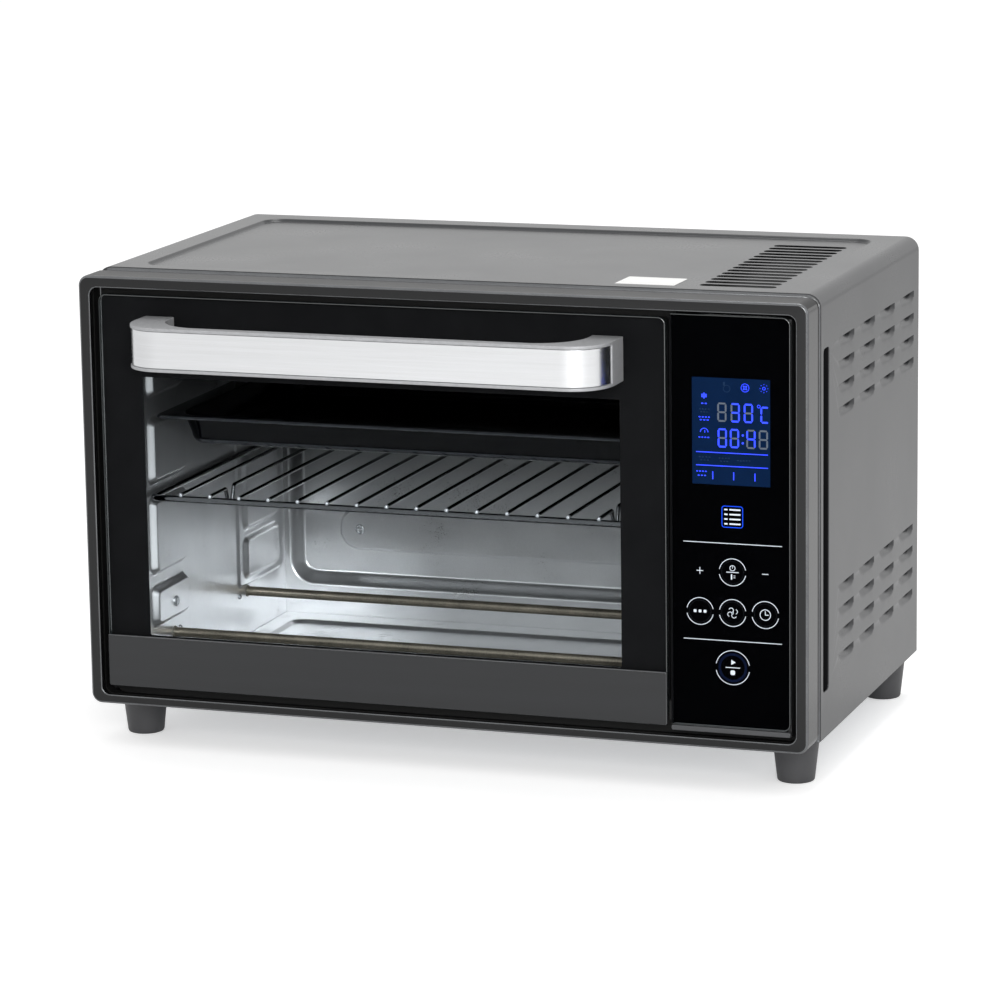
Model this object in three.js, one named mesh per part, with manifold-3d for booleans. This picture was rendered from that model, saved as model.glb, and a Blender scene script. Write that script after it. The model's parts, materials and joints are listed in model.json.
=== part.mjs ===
// Toaster oven: a counter-top electric oven with a bottom-hinged glass door, a touch panel and side fan.
// Millimetres. x runs to the right, the front faces -y, z is up from the table;
// y starts at the frame's front.
import * as THREE from "three";
import { mergeVertices } from "three/addons/utils/BufferGeometryUtils.js";
import Module from "manifold-3d";

const wasm = await Module();
wasm.setup();

// ---- fits and sheet ----
const FIT_GAP = 0.3; // between fixed pieces that rest on or fit into each other
const PIN_CLEARANCE = 0.1; // radial, hinge pin in the door and fan shaft in its bearing
const SHEET = 1; // steel and aluminised sheet

// ---- front frame ----
const FRAME_WIDTH = 480;
const FRAME_HEIGHT = 280;
const FRAME_DEPTH = 24;
const FRAME_WALL = 2.8;
const FRAME_CORNER_RADIUS = 10;
const FRAME_EDGE_ROUND = 2.2;
const LIP_DEPTH = 3.4;
const LIP_SIDE = 6.8;
const LIP_TOP = 6.2;
const LIP_BOTTOM = 8;
const LIP_CORNER_RADIUS = 8;
const SPIGOT_DEPTH = 7; // the part of the frame that reaches inside the housing
const FOOT_HEIGHT = 28;

// ---- housing ----
const BODY_DEPTH = 284; // frame front to the housing's rear edge
const HOUSING_PROUD_SIDE = 2;
const HOUSING_PROUD_TOP = 4;
const HOUSING_CORNER_RADIUS = 9;
const GROOVE_WIDTH = 2; // open joint between frame and housing
const PRESS_DEPTH = 0.5;
const TOP_PRESS_INSET_X = 24.5;
const TOP_PRESS_FRONT_INSET = 17;
const TOP_PRESS_REAR_INSET = 18;
const TOP_PRESS_RADIUS = 14;
const SIDE_PRESS_INSET = 18.5; // housing's front edge to the middle of the pressed groove
const SIDE_PRESS_WIDTH = 9;
const SIDE_PRESS_LOW_INSET = 29.4;
const SIDE_PRESS_HIGH_INSET = 35;
const VENT_COUNT = 15;
const VENT_LENGTH = 48.5;
const VENT_WIDTH = 5;
const VENT_FRONT_INSET = 19; // from the pressed panel's front edge
const VENT_REAR_INSET = 31.8;
const VENT_RIGHT_INSET = 13;
const LOUVRE_COLUMNS = 4;
const LOUVRE_ROWS = 4;
const LOUVRE_LENGTH = 39;
const LOUVRE_OPENING = 4.5;
const LOUVRE_FRONT_INSET = 48;
const LOUVRE_REAR_INSET = 13.8;
const LOUVRE_PITCH = 14.8;
const LOUVRE_UPPER_DROP = 34; // housing top to the upper block
const LOUVRE_LOWER_RISE = 90.9; // housing's lower edge to the top of the lower block

// ---- feet ----
const FOOT_TOP_RADIUS = 14;
const FOOT_BOTTOM_RADIUS = 11;
const FOOT_INSET_X = 21; // from the housing's side to the foot's axis
const FOOT_FRONT_INSET = 17;
const FOOT_REAR_INSET = 18;

// ---- control panel ----
const PANEL_WIDTH = 77;
const PANEL_SETBACK = 0.5;
const PANEL_SIDE_GAP = 2.3;
const PANEL_TOP_GAP = 1.5;
const PANEL_CORNER_RADIUS = 5;
const GLASS_THICKNESS = 3;
const STRIP_HEIGHT = 3.6;
const STRIP_BOTTOM_GAP = 2;
const CARRIER_BACK = 18.6;
const CARRIER_WALL = 2.4;
const DISPLAY_WIDTH = 50;
const DISPLAY_HEIGHT = 67;
const DISPLAY_TOP_INSET = 38; // panel glass top edge to display top edge
const DISPLAY_THICKNESS = 5;
const TOUCH_BOARD_SETBACK = 11;
const TOUCH_BOARD_HIGH = 6; // above the display
const TOUCH_BOARD_LOW = 14; // above the panel glass's lower edge
const BOARD_THICKNESS = 1.6;
const CHIP_SIDE = 18;
const CHIP_THICKNESS = 2.5;
const CHIP_RISE = 60;
const BUZZER_RADIUS = 6;
const BUZZER_THICKNESS = 4.5;
const BUZZER_OFFSET = 20;
const BUZZER_RISE = 30;
const PLUG_WIDTH = 18;
const PLUG_HEIGHT = 7;
const PLUG_THICKNESS = 5;
const PLUG_OFFSET = 17;
const PLUG_RISE = 10;
const SOLDER_OVERLAP = 0.5; // how far a component is sunk in its board

// ---- door ----
const DOOR_FACE_SETBACK = 4.3;
const DOOR_GLASS_THICKNESS = 4;
const DOOR_BACK = 17;
const DOOR_SIDE_GAP = 4.2;
const DOOR_TOP_GAP = 4.7;
const DOOR_BOTTOM_GAP = 5.5;
const DOOR_PANEL_GAP = 3.5;
const DOOR_CORNER_RADIUS = 5;
const RAIL_HEIGHT = 32.5;
const RAIL_SETBACK = 3;
const RAIL_RETURN = 12; // depth of the rail's lower return
const WINDOW_SIDE_INSET = 29.9;
const WINDOW_TOP_INSET = 52.3;
const WINDOW_CORNER_RADIUS = 3;
const HINGE_SETBACK = 12.8; // hinge axis behind the frame's front
const HINGE_RISE = 6.5; // hinge axis above the door's bottom edge
const HINGE_PIN_RADIUS = 2.5;
const HINGE_PIN_REACH = 12; // into the door
const HINGE_PLATE = 1.5;
const HINGE_PLATE_HEIGHT = 15;

// ---- handle ----
const HANDLE_REACH = 46; // door glass to the handle's front
const HANDLE_HEIGHT = 28;
const HANDLE_TOP_INSET = 11.6; // door top edge to handle top
const HANDLE_END_INSET = 27.5; // door side edge to handle end
const HANDLE_CORNER_RADIUS = 30;
const HANDLE_BAR = 9;
const HANDLE_POST = 22;
const STRIP_RECESS = 2;
const STRIP_THICKNESS = 0.9;
const STRIP_REACH = 20; // how far the inlaid strip follows the swept ends
const HANDLE_EDGE = 2.2; // metal left above and below the inlaid strip
const HANDLE_SCREW_RADIUS = 2.2;
const HANDLE_SCREW_HEAD_RADIUS = 4.5;
const HANDLE_SCREW_DEPTH = 12;

// ---- cavity ----
const CAVITY_LEFT_INSET = 31.2; // frame's left side to the cavity's left wall
const CAVITY_PANEL_SPACE = 9.9; // cavity's right wall to the panel's left edge
const CAVITY_FLOOR_RISE = 5; // cavity floor above the frame's bottom
const CAVITY_ROOF_DROP = 13; // cavity roof below the frame's top
const BULKHEAD_SETBACK = 20.5;
const BULKHEAD_MARGIN = 1.6; // bulkhead edge inside the frame's wall
const MOUTH_SILL = 11; // bulkhead left above the cavity floor
const WIRING_INSET_X = 10; // panel edge to the bulkhead's wiring opening
const WIRING_INSET_Z = 20;
const CAVITY_REAR_SPACE = 24; // cavity back to the housing's rear edge
const POCKET_DEPTH = 10;
const POCKET_SIDE_INSET = 8;
const POCKET_LOW_INSET = 24;
const POCKET_RADIUS = 14;
const PILL_LOW_INSET = 45; // floor to the pill's lower edge
const PILL_HEIGHT = 30;
const PILL_SIDE_INSET = 38;
const PAD_RISE = 4.5;
const PAD_FRONT_INSET = 3;
const PAD_FRONT_LENGTH = 50;
const PAD_REAR_INSET = 20;
const PAD_REAR_LENGTH = 60;
const PAD_BEVEL = 3;
const GUIDE_LOW_RISE = 73; // cavity floor to the middle of the lowest guide
const GUIDE_RACK_RISE = 135;
const GUIDE_TRAY_RISE = 187;
const GUIDE_LOW_HEIGHT = 8;
const GUIDE_RACK_HEIGHT = 16.5;
const GUIDE_TRAY_HEIGHT = 12;
const PAD_BOTTOM_RISE = 43; // lowest pad above the cavity floor
const PAD_TOP_DROP = 22; // highest pad below the cavity roof
const PAN_DEPTH = 2.6;
const PAN_RIM_SIDE = 12;
const PAN_RIM_FRONT = 24;
const PAN_RIM_REAR = 18;

// ---- heating elements ----
const ELEMENT_RADIUS = 3.2;
const ELEMENT_LOWER_RISE = 30.5;
const ELEMENT_UPPER_DROP = 22;
const ELEMENT_FRONT_INSET = 40.2;
const ELEMENT_REAR_INSET = 71;
const ELEMENT_CLEARANCE = 0.4;
const COLLAR_RADIUS = 5;
const COLLAR_LENGTH = 9;
const TERMINAL_RADIUS = 1.6;
const TERMINAL_LENGTH = 9;

// ---- fan, lamp and probe on the right cavity wall ----
const FAN_SLOTS = 12;
const FAN_SLOT_WIDTH = 4.5;
const FAN_SLOT_INNER = 16;
const FAN_SLOT_OUTER = 38;
const FAN_BLADE_RADIUS = 42;
const FAN_BLADE_COUNT = 6;
const FAN_BLADE_WIDTH = 11;
const FAN_BLADE_SHEET = 1.2;
const FAN_HUB_RADIUS = 7;
const FAN_SHAFT_RADIUS = 3;
const FAN_SHAFT_REACH = 9; // into the motor's bearing
const FAN_BOX_RADIUS = 50;
const FAN_BOX_DEPTH = 20;
const MOTOR_RADIUS = 26;
const MOTOR_LENGTH = 32;
const MOTOR_CORE_WIDTH = 60;
const MOTOR_CORE_HEIGHT = 44;
const MOTOR_CORE_LENGTH = 14.4;
const LAMP_REAR_INSET = 32;
const LAMP_DROP = 37;
const LAMP_GLASS_RADIUS = 17;
const LAMP_GLASS_WALL = 3;
const LAMP_DOME = 7; // how far the lamp glass stands into the cavity
const LAMP_FLANGE_RADIUS = 20;
const LAMP_FLANGE = 2;
const LAMP_BULB_RADIUS = 10;
const LAMP_HOLDER_LENGTH = 26;
const LAMP_HOLDER_WALL = 2.5;
const PROBE_FRONT_INSET = 78;
const PROBE_DROP = 33;
const PROBE_RADIUS = 3;
const PROBE_REACH = 18;
const PROBE_COLLAR = 2.7;
const PROBE_TAIL = 10;

// ---- wire rack ----
const RACK_WIRES = 16;
const RACK_SIDE_CLEARANCE = 0.8; // rail to cavity wall
const RACK_RAIL_RADIUS = 2.2;
const RACK_WIRE_RADIUS = 1.3;
const RACK_WELD = 0.9; // how far a cross wire sinks into the rails
const RACK_FRONT_INSET = 2.7;
const RACK_REAR_INSET = 14;
const RACK_CORNER_RADIUS = 10;
const RACK_BRACE_DROP = 4.6; // second front wire below the rails
const RACK_REST_GAP = 0.4;
const RACK_DIPPED = 2; // the dipped wires, counted in from each side
const DIP_START = 26; // front of the rack to the dip
const DIP_SLOPE = 4;
const DIP_LENGTH = 6;
const DIP_DEPTH = 12;
const DIP_BEND = 1.5;

// ---- baking tray ----
const TRAY_SIDE_CLEARANCE = 2.4;
const TRAY_FRONT_INSET = 9.2;
const TRAY_REAR_INSET = 16;
const TRAY_FLANGE_SIDE = 18;
const TRAY_FLANGE_END = 7;
const TRAY_DEPTH = 21;
const TRAY_WALL = 1;
const TRAY_DRAFT = 6;
const TRAY_CORNER_RADIUS = 14;

// ---- electrics ----
const BOARD_LENGTH = 100;
const BOARD_HEIGHT = 76;
const BOARD_REAR_INSET = 34;
const BOARD_RISE = 22.4;
const BOARD_SIDE_GAP = 12; // housing side to board
const RELAY_COUNT = 4;
const RELAY_PITCH = 22;
const RELAY_LENGTH = 16;
const RELAY_HEIGHT = 20;
const RELAY_DEPTH = 14.5;
const PART_MARGIN = 8; // board edge to the nearest component
const TRANSFORMER_LENGTH = 34;
const TRANSFORMER_HEIGHT = 28;
const TRANSFORMER_DEPTH = 21.5;
const CAPACITOR_RADIUS = 7;
const CAPACITOR_DEPTH = 20;
const CAPACITOR_OFFSET = 62; // front edge of the board to the capacitor
const BRACKET_MARGIN = 4;
const BRACKET_FOOT = 18;
const TERMINAL_POLES = 3;
const TERMINAL_PITCH = 12;
const TERMINAL_WIDTH = 20;
const TERMINAL_BASE = 5;
const TERMINAL_HEIGHT = 17;
const TERMINAL_WALL = 2;
const TERMINAL_LEFT = 24; // panel middle to the block's left side
const CUTOUT_RADIUS = 8;
const CUTOUT_BASE = 6;
const CUTOUT_HEIGHT = 10;
const GLAND_RADIUS = 7.6;
const GLAND_FLANGE_RADIUS = 11;
const GLAND_BORE_RADIUS = 4.2;
const GLAND_INSET = 37;
const GLAND_RISE = 31.4;
const GLAND_PROUD = 6;
const GLAND_NUT = 5;
const REAR_SCREW_RADIUS = 1.9;
const REAR_SCREW_HEAD_RADIUS = 3.8;
const REAR_SCREW_LENGTH = 9;
const SCREW_HEAD = 2;
const REAR_SCREW_INSET_X = 22;
const REAR_SCREW_INSET_Z = 24;
const REAR_VENT_ROWS = 5;
const REAR_VENT_LENGTH = 60;
const LABEL_RIGHT_INSET = 92.5; // pressed panel's right edge to the label's middle
const LABEL_FRONT_INSET = 15;
const LABEL_WIDTH = 41;
const LABEL_DEPTH = 28;
const LABEL_THICKNESS = 0.2;

// ---- places that follow from the sizes above ----
const frameLow = FOOT_HEIGHT;
const frameHigh = frameLow + FRAME_HEIGHT;
const frameHalf = FRAME_WIDTH / 2;
const openLeft = -frameHalf + LIP_SIDE;
const openRight = frameHalf - LIP_SIDE;
const openLow = frameLow + LIP_BOTTOM;
const openHigh = frameHigh - LIP_TOP;
const housingHalf = frameHalf + HOUSING_PROUD_SIDE;
const housingTop = frameHigh + HOUSING_PROUD_TOP;
const housingFront = FRAME_DEPTH + GROOVE_WIDTH;
const sheetLow = frameLow + 2 * FIT_GAP;
const spigotBack = FRAME_DEPTH + SPIGOT_DEPTH;
const pressHalf = housingHalf - TOP_PRESS_INSET_X;
const louvreHigh = housingTop - LOUVRE_UPPER_DROP;
const pressFront = housingFront + TOP_PRESS_FRONT_INSET;
const pressRear = BODY_DEPTH - TOP_PRESS_REAR_INSET;

const panelRight = openRight - PANEL_SIDE_GAP;
const panelLeft = panelRight - PANEL_WIDTH;
const panelHigh = openHigh - PANEL_TOP_GAP;
const stripLow = openLow + STRIP_BOTTOM_GAP;
const panelLow = stripLow + STRIP_HEIGHT;

const doorLeft = openLeft + DOOR_SIDE_GAP;
const doorRight = panelLeft - DOOR_PANEL_GAP;
const doorHigh = openHigh - DOOR_TOP_GAP;
const doorLow = openLow + DOOR_BOTTOM_GAP;
const railHigh = doorLow + RAIL_HEIGHT;
const hingeZ = doorLow + HINGE_RISE;
const windowLeft = doorLeft + WINDOW_SIDE_INSET;
const windowRight = doorRight - WINDOW_SIDE_INSET;
const windowHigh = doorHigh - WINDOW_TOP_INSET;
const doorGlassBack = DOOR_FACE_SETBACK + DOOR_GLASS_THICKNESS;
const doorFrameFront = doorGlassBack + FIT_GAP;

const cavityLeft = -frameHalf + CAVITY_LEFT_INSET;
const cavityRight = panelLeft - CAVITY_PANEL_SPACE;
const cavityMiddle = (cavityLeft + cavityRight) / 2;
const cavityFloor = frameLow + CAVITY_FLOOR_RISE;
const cavityRoof = frameHigh - CAVITY_ROOF_DROP;
const cavityFront = BULKHEAD_SETBACK + SHEET + FIT_GAP;
const cavityBack = BODY_DEPTH - CAVITY_REAR_SPACE;
const guideRackZ = cavityFloor + GUIDE_RACK_RISE;
const guideTrayZ = cavityFloor + GUIDE_TRAY_RISE;
const elementLow = cavityFloor + ELEMENT_LOWER_RISE;
const elementHigh = cavityRoof - ELEMENT_UPPER_DROP;
const elementFront = cavityFront + ELEMENT_FRONT_INSET;
const elementRear = cavityBack - ELEMENT_REAR_INSET;
const rackRailZ = guideRackZ - GUIDE_RACK_HEIGHT / 2 + RACK_RAIL_RADIUS + RACK_REST_GAP;
const trayRimLow = guideTrayZ - GUIDE_TRAY_HEIGHT / 2 + RACK_REST_GAP;
const fanY = (cavityFront + cavityBack) / 2;
const fanZ = (cavityFloor + cavityRoof) / 2;
const lampY = cavityBack - LAMP_REAR_INSET;
const lampZ = cavityRoof - LAMP_DROP;
const probeY = cavityFront + PROBE_FRONT_INSET;
const probeZ = cavityRoof - PROBE_DROP;

// ---- geometry helpers ----
function solid(geometry) {
  const bare = geometry.clone();
  bare.deleteAttribute("normal");
  bare.deleteAttribute("uv");
  const merged = mergeVertices(bare, 1e-4);
  const index = merged.index.array;
  const faces = [];
  for (let i = 0; i < index.length; i += 3) {
    const [a, b, c] = [index[i], index[i + 1], index[i + 2]];
    if (a !== b && b !== c && c !== a) faces.push(a, b, c);
  }
  const vertProperties = merged.attributes.position.array;
  return new wasm.Manifold(new wasm.Mesh({ numProp: 3, vertProperties, triVerts: new Uint32Array(faces) }));
}

function geometryOf(shape) {
  const mesh = shape.getMesh();
  const geometry = new THREE.BufferGeometry();
  geometry.setAttribute("position", new THREE.BufferAttribute(new Float32Array(mesh.vertProperties), 3));
  geometry.setIndex(new THREE.BufferAttribute(new Uint32Array(mesh.triVerts), 1));
  geometry.computeVertexNormals();
  return geometry;
}

function box(x0, x1, y0, y1, z0, z1) {
  const geometry = new THREE.BoxGeometry(x1 - x0, y1 - y0, z1 - z0);
  return solid(geometry.translate((x0 + x1) / 2, (y0 + y1) / 2, (z0 + z1) / 2));
}

// Outline in the plane across an axis: x,z across y; y,z across x; x,y across z.
function roundedOutline(u0, u1, v0, v1, radius) {
  const r = Math.min(radius, (u1 - u0) / 2, (v1 - v0) / 2);
  const shape = new THREE.Shape();
  shape.moveTo(u0 + r, v0);
  shape.lineTo(u1 - r, v0);
  shape.absarc(u1 - r, v0 + r, r, -Math.PI / 2, 0, false);
  shape.lineTo(u1, v1 - r);
  shape.absarc(u1 - r, v1 - r, r, 0, Math.PI / 2, false);
  shape.lineTo(u0 + r, v1);
  shape.absarc(u0 + r, v1 - r, r, Math.PI / 2, Math.PI, false);
  shape.lineTo(u0, v0 + r);
  shape.absarc(u0 + r, v0 + r, r, Math.PI, 1.5 * Math.PI, false);
  return shape;
}

function alongAxis(geometry, axis, from, to) {
  if (axis === "z") return geometry.translate(0, 0, from);
  if (axis === "y") return geometry.rotateX(Math.PI / 2).translate(0, to, 0);
  const turn = new THREE.Matrix4().makeBasis(
    new THREE.Vector3(0, 1, 0),
    new THREE.Vector3(0, 0, 1),
    new THREE.Vector3(1, 0, 0),
  );
  return geometry.applyMatrix4(turn).translate(from, 0, 0);
}

function prism(shape, axis, from, to, curveSegments = 5) {
  const geometry = new THREE.ExtrudeGeometry(shape, { depth: to - from, bevelEnabled: false, curveSegments });
  return solid(alongAxis(geometry, axis, from, to));
}

function plate(axis, u0, u1, v0, v1, radius, from, to, curveSegments = 5) {
  return prism(roundedOutline(u0, u1, v0, v1, radius), axis, from, to, curveSegments);
}

// A pressed shape: a plate with sloping sides that narrows by `slope` towards `to`.
function pressing(axis, u0, u1, v0, v1, radius, from, to, slope) {
  const geometry = new THREE.ExtrudeGeometry(roundedOutline(u0, u1, v0, v1, radius), {
    depth: Math.abs(to - from),
    bevelEnabled: false,
    curveSegments: 2,
  });
  const [cu, cv] = [(u0 + u1) / 2, (v0 + v1) / 2];
  const [su, sv] = [1 - (2 * slope) / (u1 - u0), 1 - (2 * slope) / (v1 - v0)];
  const place = geometry.attributes.position;
  const narrowAtEnd = to > from === (axis !== "y");
  for (let i = 0; i < place.count; i++) {
    const atEnd = place.getZ(i) > Math.abs(to - from) / 2;
    if (atEnd === narrowAtEnd) place.setXY(i, cu + (place.getX(i) - cu) * su, cv + (place.getY(i) - cv) * sv);
  }
  return solid(alongAxis(geometry, axis, Math.min(from, to), Math.max(from, to)));
}

// A turned piece: profile of [radius, distance along the axis], closed on the axis.
function turned(profile, axis, x, y, z, segments = 24) {
  const points = profile.map(([r, h]) => new THREE.Vector2(r, h));
  const geometry = new THREE.LatheGeometry(points, segments);
  if (axis === "z") geometry.rotateX(Math.PI / 2);
  if (axis === "x") geometry.rotateZ(-Math.PI / 2);
  return solid(geometry.translate(x, y, z));
}

function rod(axis, radius, x, y, z, length, segments = 20) {
  return turned([[0, 0], [radius, 0], [radius, length], [0, length]], axis, x, y, z, segments);
}

// A round wire along straight runs with rounded corners.
function wire(points, radius, bend, sides = 8, bendSteps = 4) {
  const corners = points.map(([x, y, z]) => new THREE.Vector3(x, y, z));
  const parts = [];
  const ring = new THREE.Shape();
  for (let i = 0; i < sides; i++) {
    const turn = (2 * Math.PI * (i + 0.5)) / sides;
    const [u, v] = [radius * Math.cos(turn), radius * Math.sin(turn)];
    if (i === 0) ring.moveTo(u, v);
    else ring.lineTo(u, v);
  }
  const sweep = (curve, steps) =>
    parts.push(solid(new THREE.ExtrudeGeometry(ring, { extrudePath: curve, steps, bevelEnabled: false })));
  let start = corners[0];
  for (let i = 1; i < corners.length; i++) {
    const last = i === corners.length - 1;
    const into = corners[i].clone().sub(corners[i - 1]).normalize();
    const stop = last ? corners[i] : corners[i].clone().addScaledVector(into, -bend);
    sweep(new THREE.LineCurve3(start, last ? stop : stop.clone().addScaledVector(into, 0.2)), 1);
    if (last) break;
    const away = corners[i + 1].clone().sub(corners[i]).normalize();
    const leave = corners[i].clone().addScaledVector(away, bend);
    sweep(new THREE.QuadraticBezierCurve3(stop, corners[i], leave), bendSteps);
    start = leave.clone().addScaledVector(away, -0.2);
  }
  return union(parts);
}

function union(shapes) {
  return shapes.reduce((whole, shape) => whole.add(shape));
}

// ---- materials ----
const material = (name, color, roughness, metalness) =>
  new THREE.MeshStandardMaterial({ name, color, roughness, metalness });
const paint = material("graphite_paint", 0x6b6c6e, 0.5, 0.3);
const framePaint = material("frame_paint", 0x434446, 0.45, 0.3);
const blackPaint = material("black_paint", 0x161617, 0.6, 0.1);
const darkSteel = material("dark_steel", 0x55565a, 0.4, 0.8);
const aluminised = material("aluminised_steel", 0xa9acaf, 0.4, 0.9);
const zinc = material("zinc_steel", 0x9c9fa3, 0.45, 0.9);
const chrome = material("chrome", 0xd0d2d4, 0.15, 1);
const satin = material("satin_metal", 0xc9cacc, 0.3, 0.95);
const brightStrip = material("brushed_strip", 0xe4e5e6, 0.25, 1);
const sheath = material("element_sheath", 0x6f6a60, 0.45, 0.9);
const ceramicWhite = material("ceramic", 0xe6e2d6, 0.6, 0);
const enamel = material("black_enamel", 0x0e0e0f, 0.2, 0.1);
const doorGlass = material("door_glass", 0x39424a, 0.05, 0);
const panelGlass = material("panel_glass", 0x060608, 0.06, 0);
const lampGlass = material("lamp_glass", 0xdfe6e8, 0.1, 0);
const display = material("display", 0x0c1c4a, 0.2, 0);
const rubber = material("foot_rubber", 0x3b3c3e, 0.8, 0);
const blackPlastic = material("black_plastic", 0x1b1b1d, 0.55, 0);
const board = material("circuit_board", 0x1f5a38, 0.6, 0);
const stripGrey = material("panel_strip", 0x6d6e70, 0.4, 0.6);
const labelWhite = material("blank_label", 0xf4f4f2, 0.7, 0);

const oven = new THREE.Group();
oven.name = "toaster_oven";
function put(name, shape, skin) {
  const mesh = new THREE.Mesh(geometryOf(shape), skin);
  mesh.name = name;
  oven.add(mesh);
}

// ---- front frame: an outer sleeve with a front lip, and a spigot inside the housing ----
function frontFrame() {
  const outline = roundedOutline(
    -frameHalf + FRAME_EDGE_ROUND,
    frameHalf - FRAME_EDGE_ROUND,
    frameLow + FRAME_EDGE_ROUND,
    frameHigh - FRAME_EDGE_ROUND,
    FRAME_CORNER_RADIUS - FRAME_EDGE_ROUND,
  );
  const rounded = new THREE.ExtrudeGeometry(outline, {
    depth: FRAME_DEPTH - 2 * FRAME_EDGE_ROUND,
    bevelThickness: FRAME_EDGE_ROUND,
    bevelSize: FRAME_EDGE_ROUND,
    bevelSegments: 2,
    curveSegments: 4,
  });
  const block = solid(rounded.rotateX(Math.PI / 2).translate(0, FRAME_DEPTH - FRAME_EDGE_ROUND, 0));
  const inner = plate(
    "y",
    -frameHalf + FRAME_WALL,
    frameHalf - FRAME_WALL,
    frameLow + FRAME_WALL,
    frameHigh - FRAME_WALL,
    FRAME_CORNER_RADIUS - FRAME_WALL,
    LIP_DEPTH,
    spigotBack + 1,
    4,
  );
  const mouth = plate("y", openLeft, openRight, openLow, openHigh, LIP_CORNER_RADIUS, -1, LIP_DEPTH + 1, 4);
  const spigot = plate(
    "y",
    -frameHalf + FIT_GAP + SHEET,
    frameHalf - FIT_GAP - SHEET,
    frameLow + SHEET,
    frameHigh - FIT_GAP - SHEET,
    FRAME_CORNER_RADIUS,
    FRAME_DEPTH - 1,
    spigotBack,
    4,
  );
  return block.add(spigot).subtract(inner).subtract(mouth);
}
put("front_frame", frontFrame(), framePaint);

// ---- bulkhead behind the door, with the cavity's mouth and an opening for the panel's wiring ----
const bulkheadHalf = frameHalf - FRAME_WALL - BULKHEAD_MARGIN;
function bulkhead() {
  const sheet = plate(
    "y",
    -bulkheadHalf,
    bulkheadHalf,
    frameLow + FRAME_WALL + FIT_GAP,
    frameHigh - FRAME_WALL - BULKHEAD_MARGIN,
    FRAME_CORNER_RADIUS,
    BULKHEAD_SETBACK,
    BULKHEAD_SETBACK + SHEET,
    3,
  );
  const [front, back] = [BULKHEAD_SETBACK - 1, BULKHEAD_SETBACK + SHEET + 1];
  const mouth = box(cavityLeft, cavityRight, front, back, cavityFloor + MOUTH_SILL, cavityRoof);
  const wiring = plate(
    "y",
    panelLeft + WIRING_INSET_X,
    panelRight - WIRING_INSET_X,
    panelLow + WIRING_INSET_Z,
    panelHigh - WIRING_INSET_Z,
    PANEL_CORNER_RADIUS,
    front,
    back,
    3,
  );
  return sheet.subtract(mouth).subtract(wiring);
}
put("front_bulkhead", bulkhead(), blackPaint);

// ---- housing: one bent sheet over the top and both sides ----
function housing() {
  const outline = roundedOutline(
    -housingHalf,
    housingHalf,
    sheetLow - HOUSING_CORNER_RADIUS,
    housingTop,
    HOUSING_CORNER_RADIUS,
  );
  const hollow = roundedOutline(
    -housingHalf + SHEET,
    housingHalf - SHEET,
    sheetLow - 2 * HOUSING_CORNER_RADIUS,
    housingTop - SHEET,
    HOUSING_CORNER_RADIUS - SHEET,
  );
  const shell = prism(outline, "y", housingFront, BODY_DEPTH, 4)
    .subtract(prism(hollow, "y", housingFront - 1, BODY_DEPTH + 1, 4))
    .subtract(
      box(
        -housingHalf - 1, housingHalf + 1, 0, BODY_DEPTH + 1, sheetLow - 3 * HOUSING_CORNER_RADIUS, sheetLow,
      ),
    );
  const topPress = plate(
    "z",
    -pressHalf,
    pressHalf,
    pressFront,
    pressRear,
    TOP_PRESS_RADIUS,
    housingTop - PRESS_DEPTH,
    housingTop + 1,
    3,
  );
  const ventRight = pressHalf - VENT_RIGHT_INSET;
  const ventFirst = pressFront + VENT_FRONT_INSET;
  const ventPitch = (pressRear - VENT_REAR_INSET - ventFirst) / (VENT_COUNT - 1);
  const cuts = [topPress];
  for (let i = 0; i < VENT_COUNT; i++) {
    const y = ventFirst + i * ventPitch;
    cuts.push(
      box(
        ventRight - VENT_LENGTH, ventRight,
        y - VENT_WIDTH / 2, y + VENT_WIDTH / 2,
        housingTop - 2, housingTop + 1,
      ),
    );
  }
  const pressMiddle = housingFront + SIDE_PRESS_INSET;
  const half = SIDE_PRESS_WIDTH / 2;
  const [pressLow, pressHigh] = [sheetLow + SIDE_PRESS_LOW_INSET, housingTop - SIDE_PRESS_HIGH_INSET];
  const louvreFirst = housingFront + LOUVRE_FRONT_INSET;
  const louvreLast = BODY_DEPTH - LOUVRE_REAR_INSET - LOUVRE_LENGTH;
  for (const side of [-1, 1]) {
    const [a, b] = [side * (housingHalf - PRESS_DEPTH), side * (housingHalf + 1)];
    const [x0, x1] = [Math.min(a, b), Math.max(a, b)];
    cuts.push(plate("x", pressMiddle - half, pressMiddle + half, pressLow, pressHigh, half, x0, x1, 3));
    for (const top of [louvreHigh, sheetLow + LOUVRE_LOWER_RISE]) {
      for (let column = 0; column < LOUVRE_COLUMNS; column++) {
        for (let row = 0; row < LOUVRE_ROWS; row++) {
          const y = louvreFirst + (column * (louvreLast - louvreFirst)) / (LOUVRE_COLUMNS - 1);
          const z = top - row * LOUVRE_PITCH;
          const through = side * (housingHalf - SHEET / 2);
          cuts.push(box(through - SHEET, through + SHEET, y, y + LOUVRE_LENGTH, z - LOUVRE_OPENING, z));
        }
      }
    }
  }
  return shell.subtract(union(cuts));
}
put("housing_shell", housing(), paint);

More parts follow.
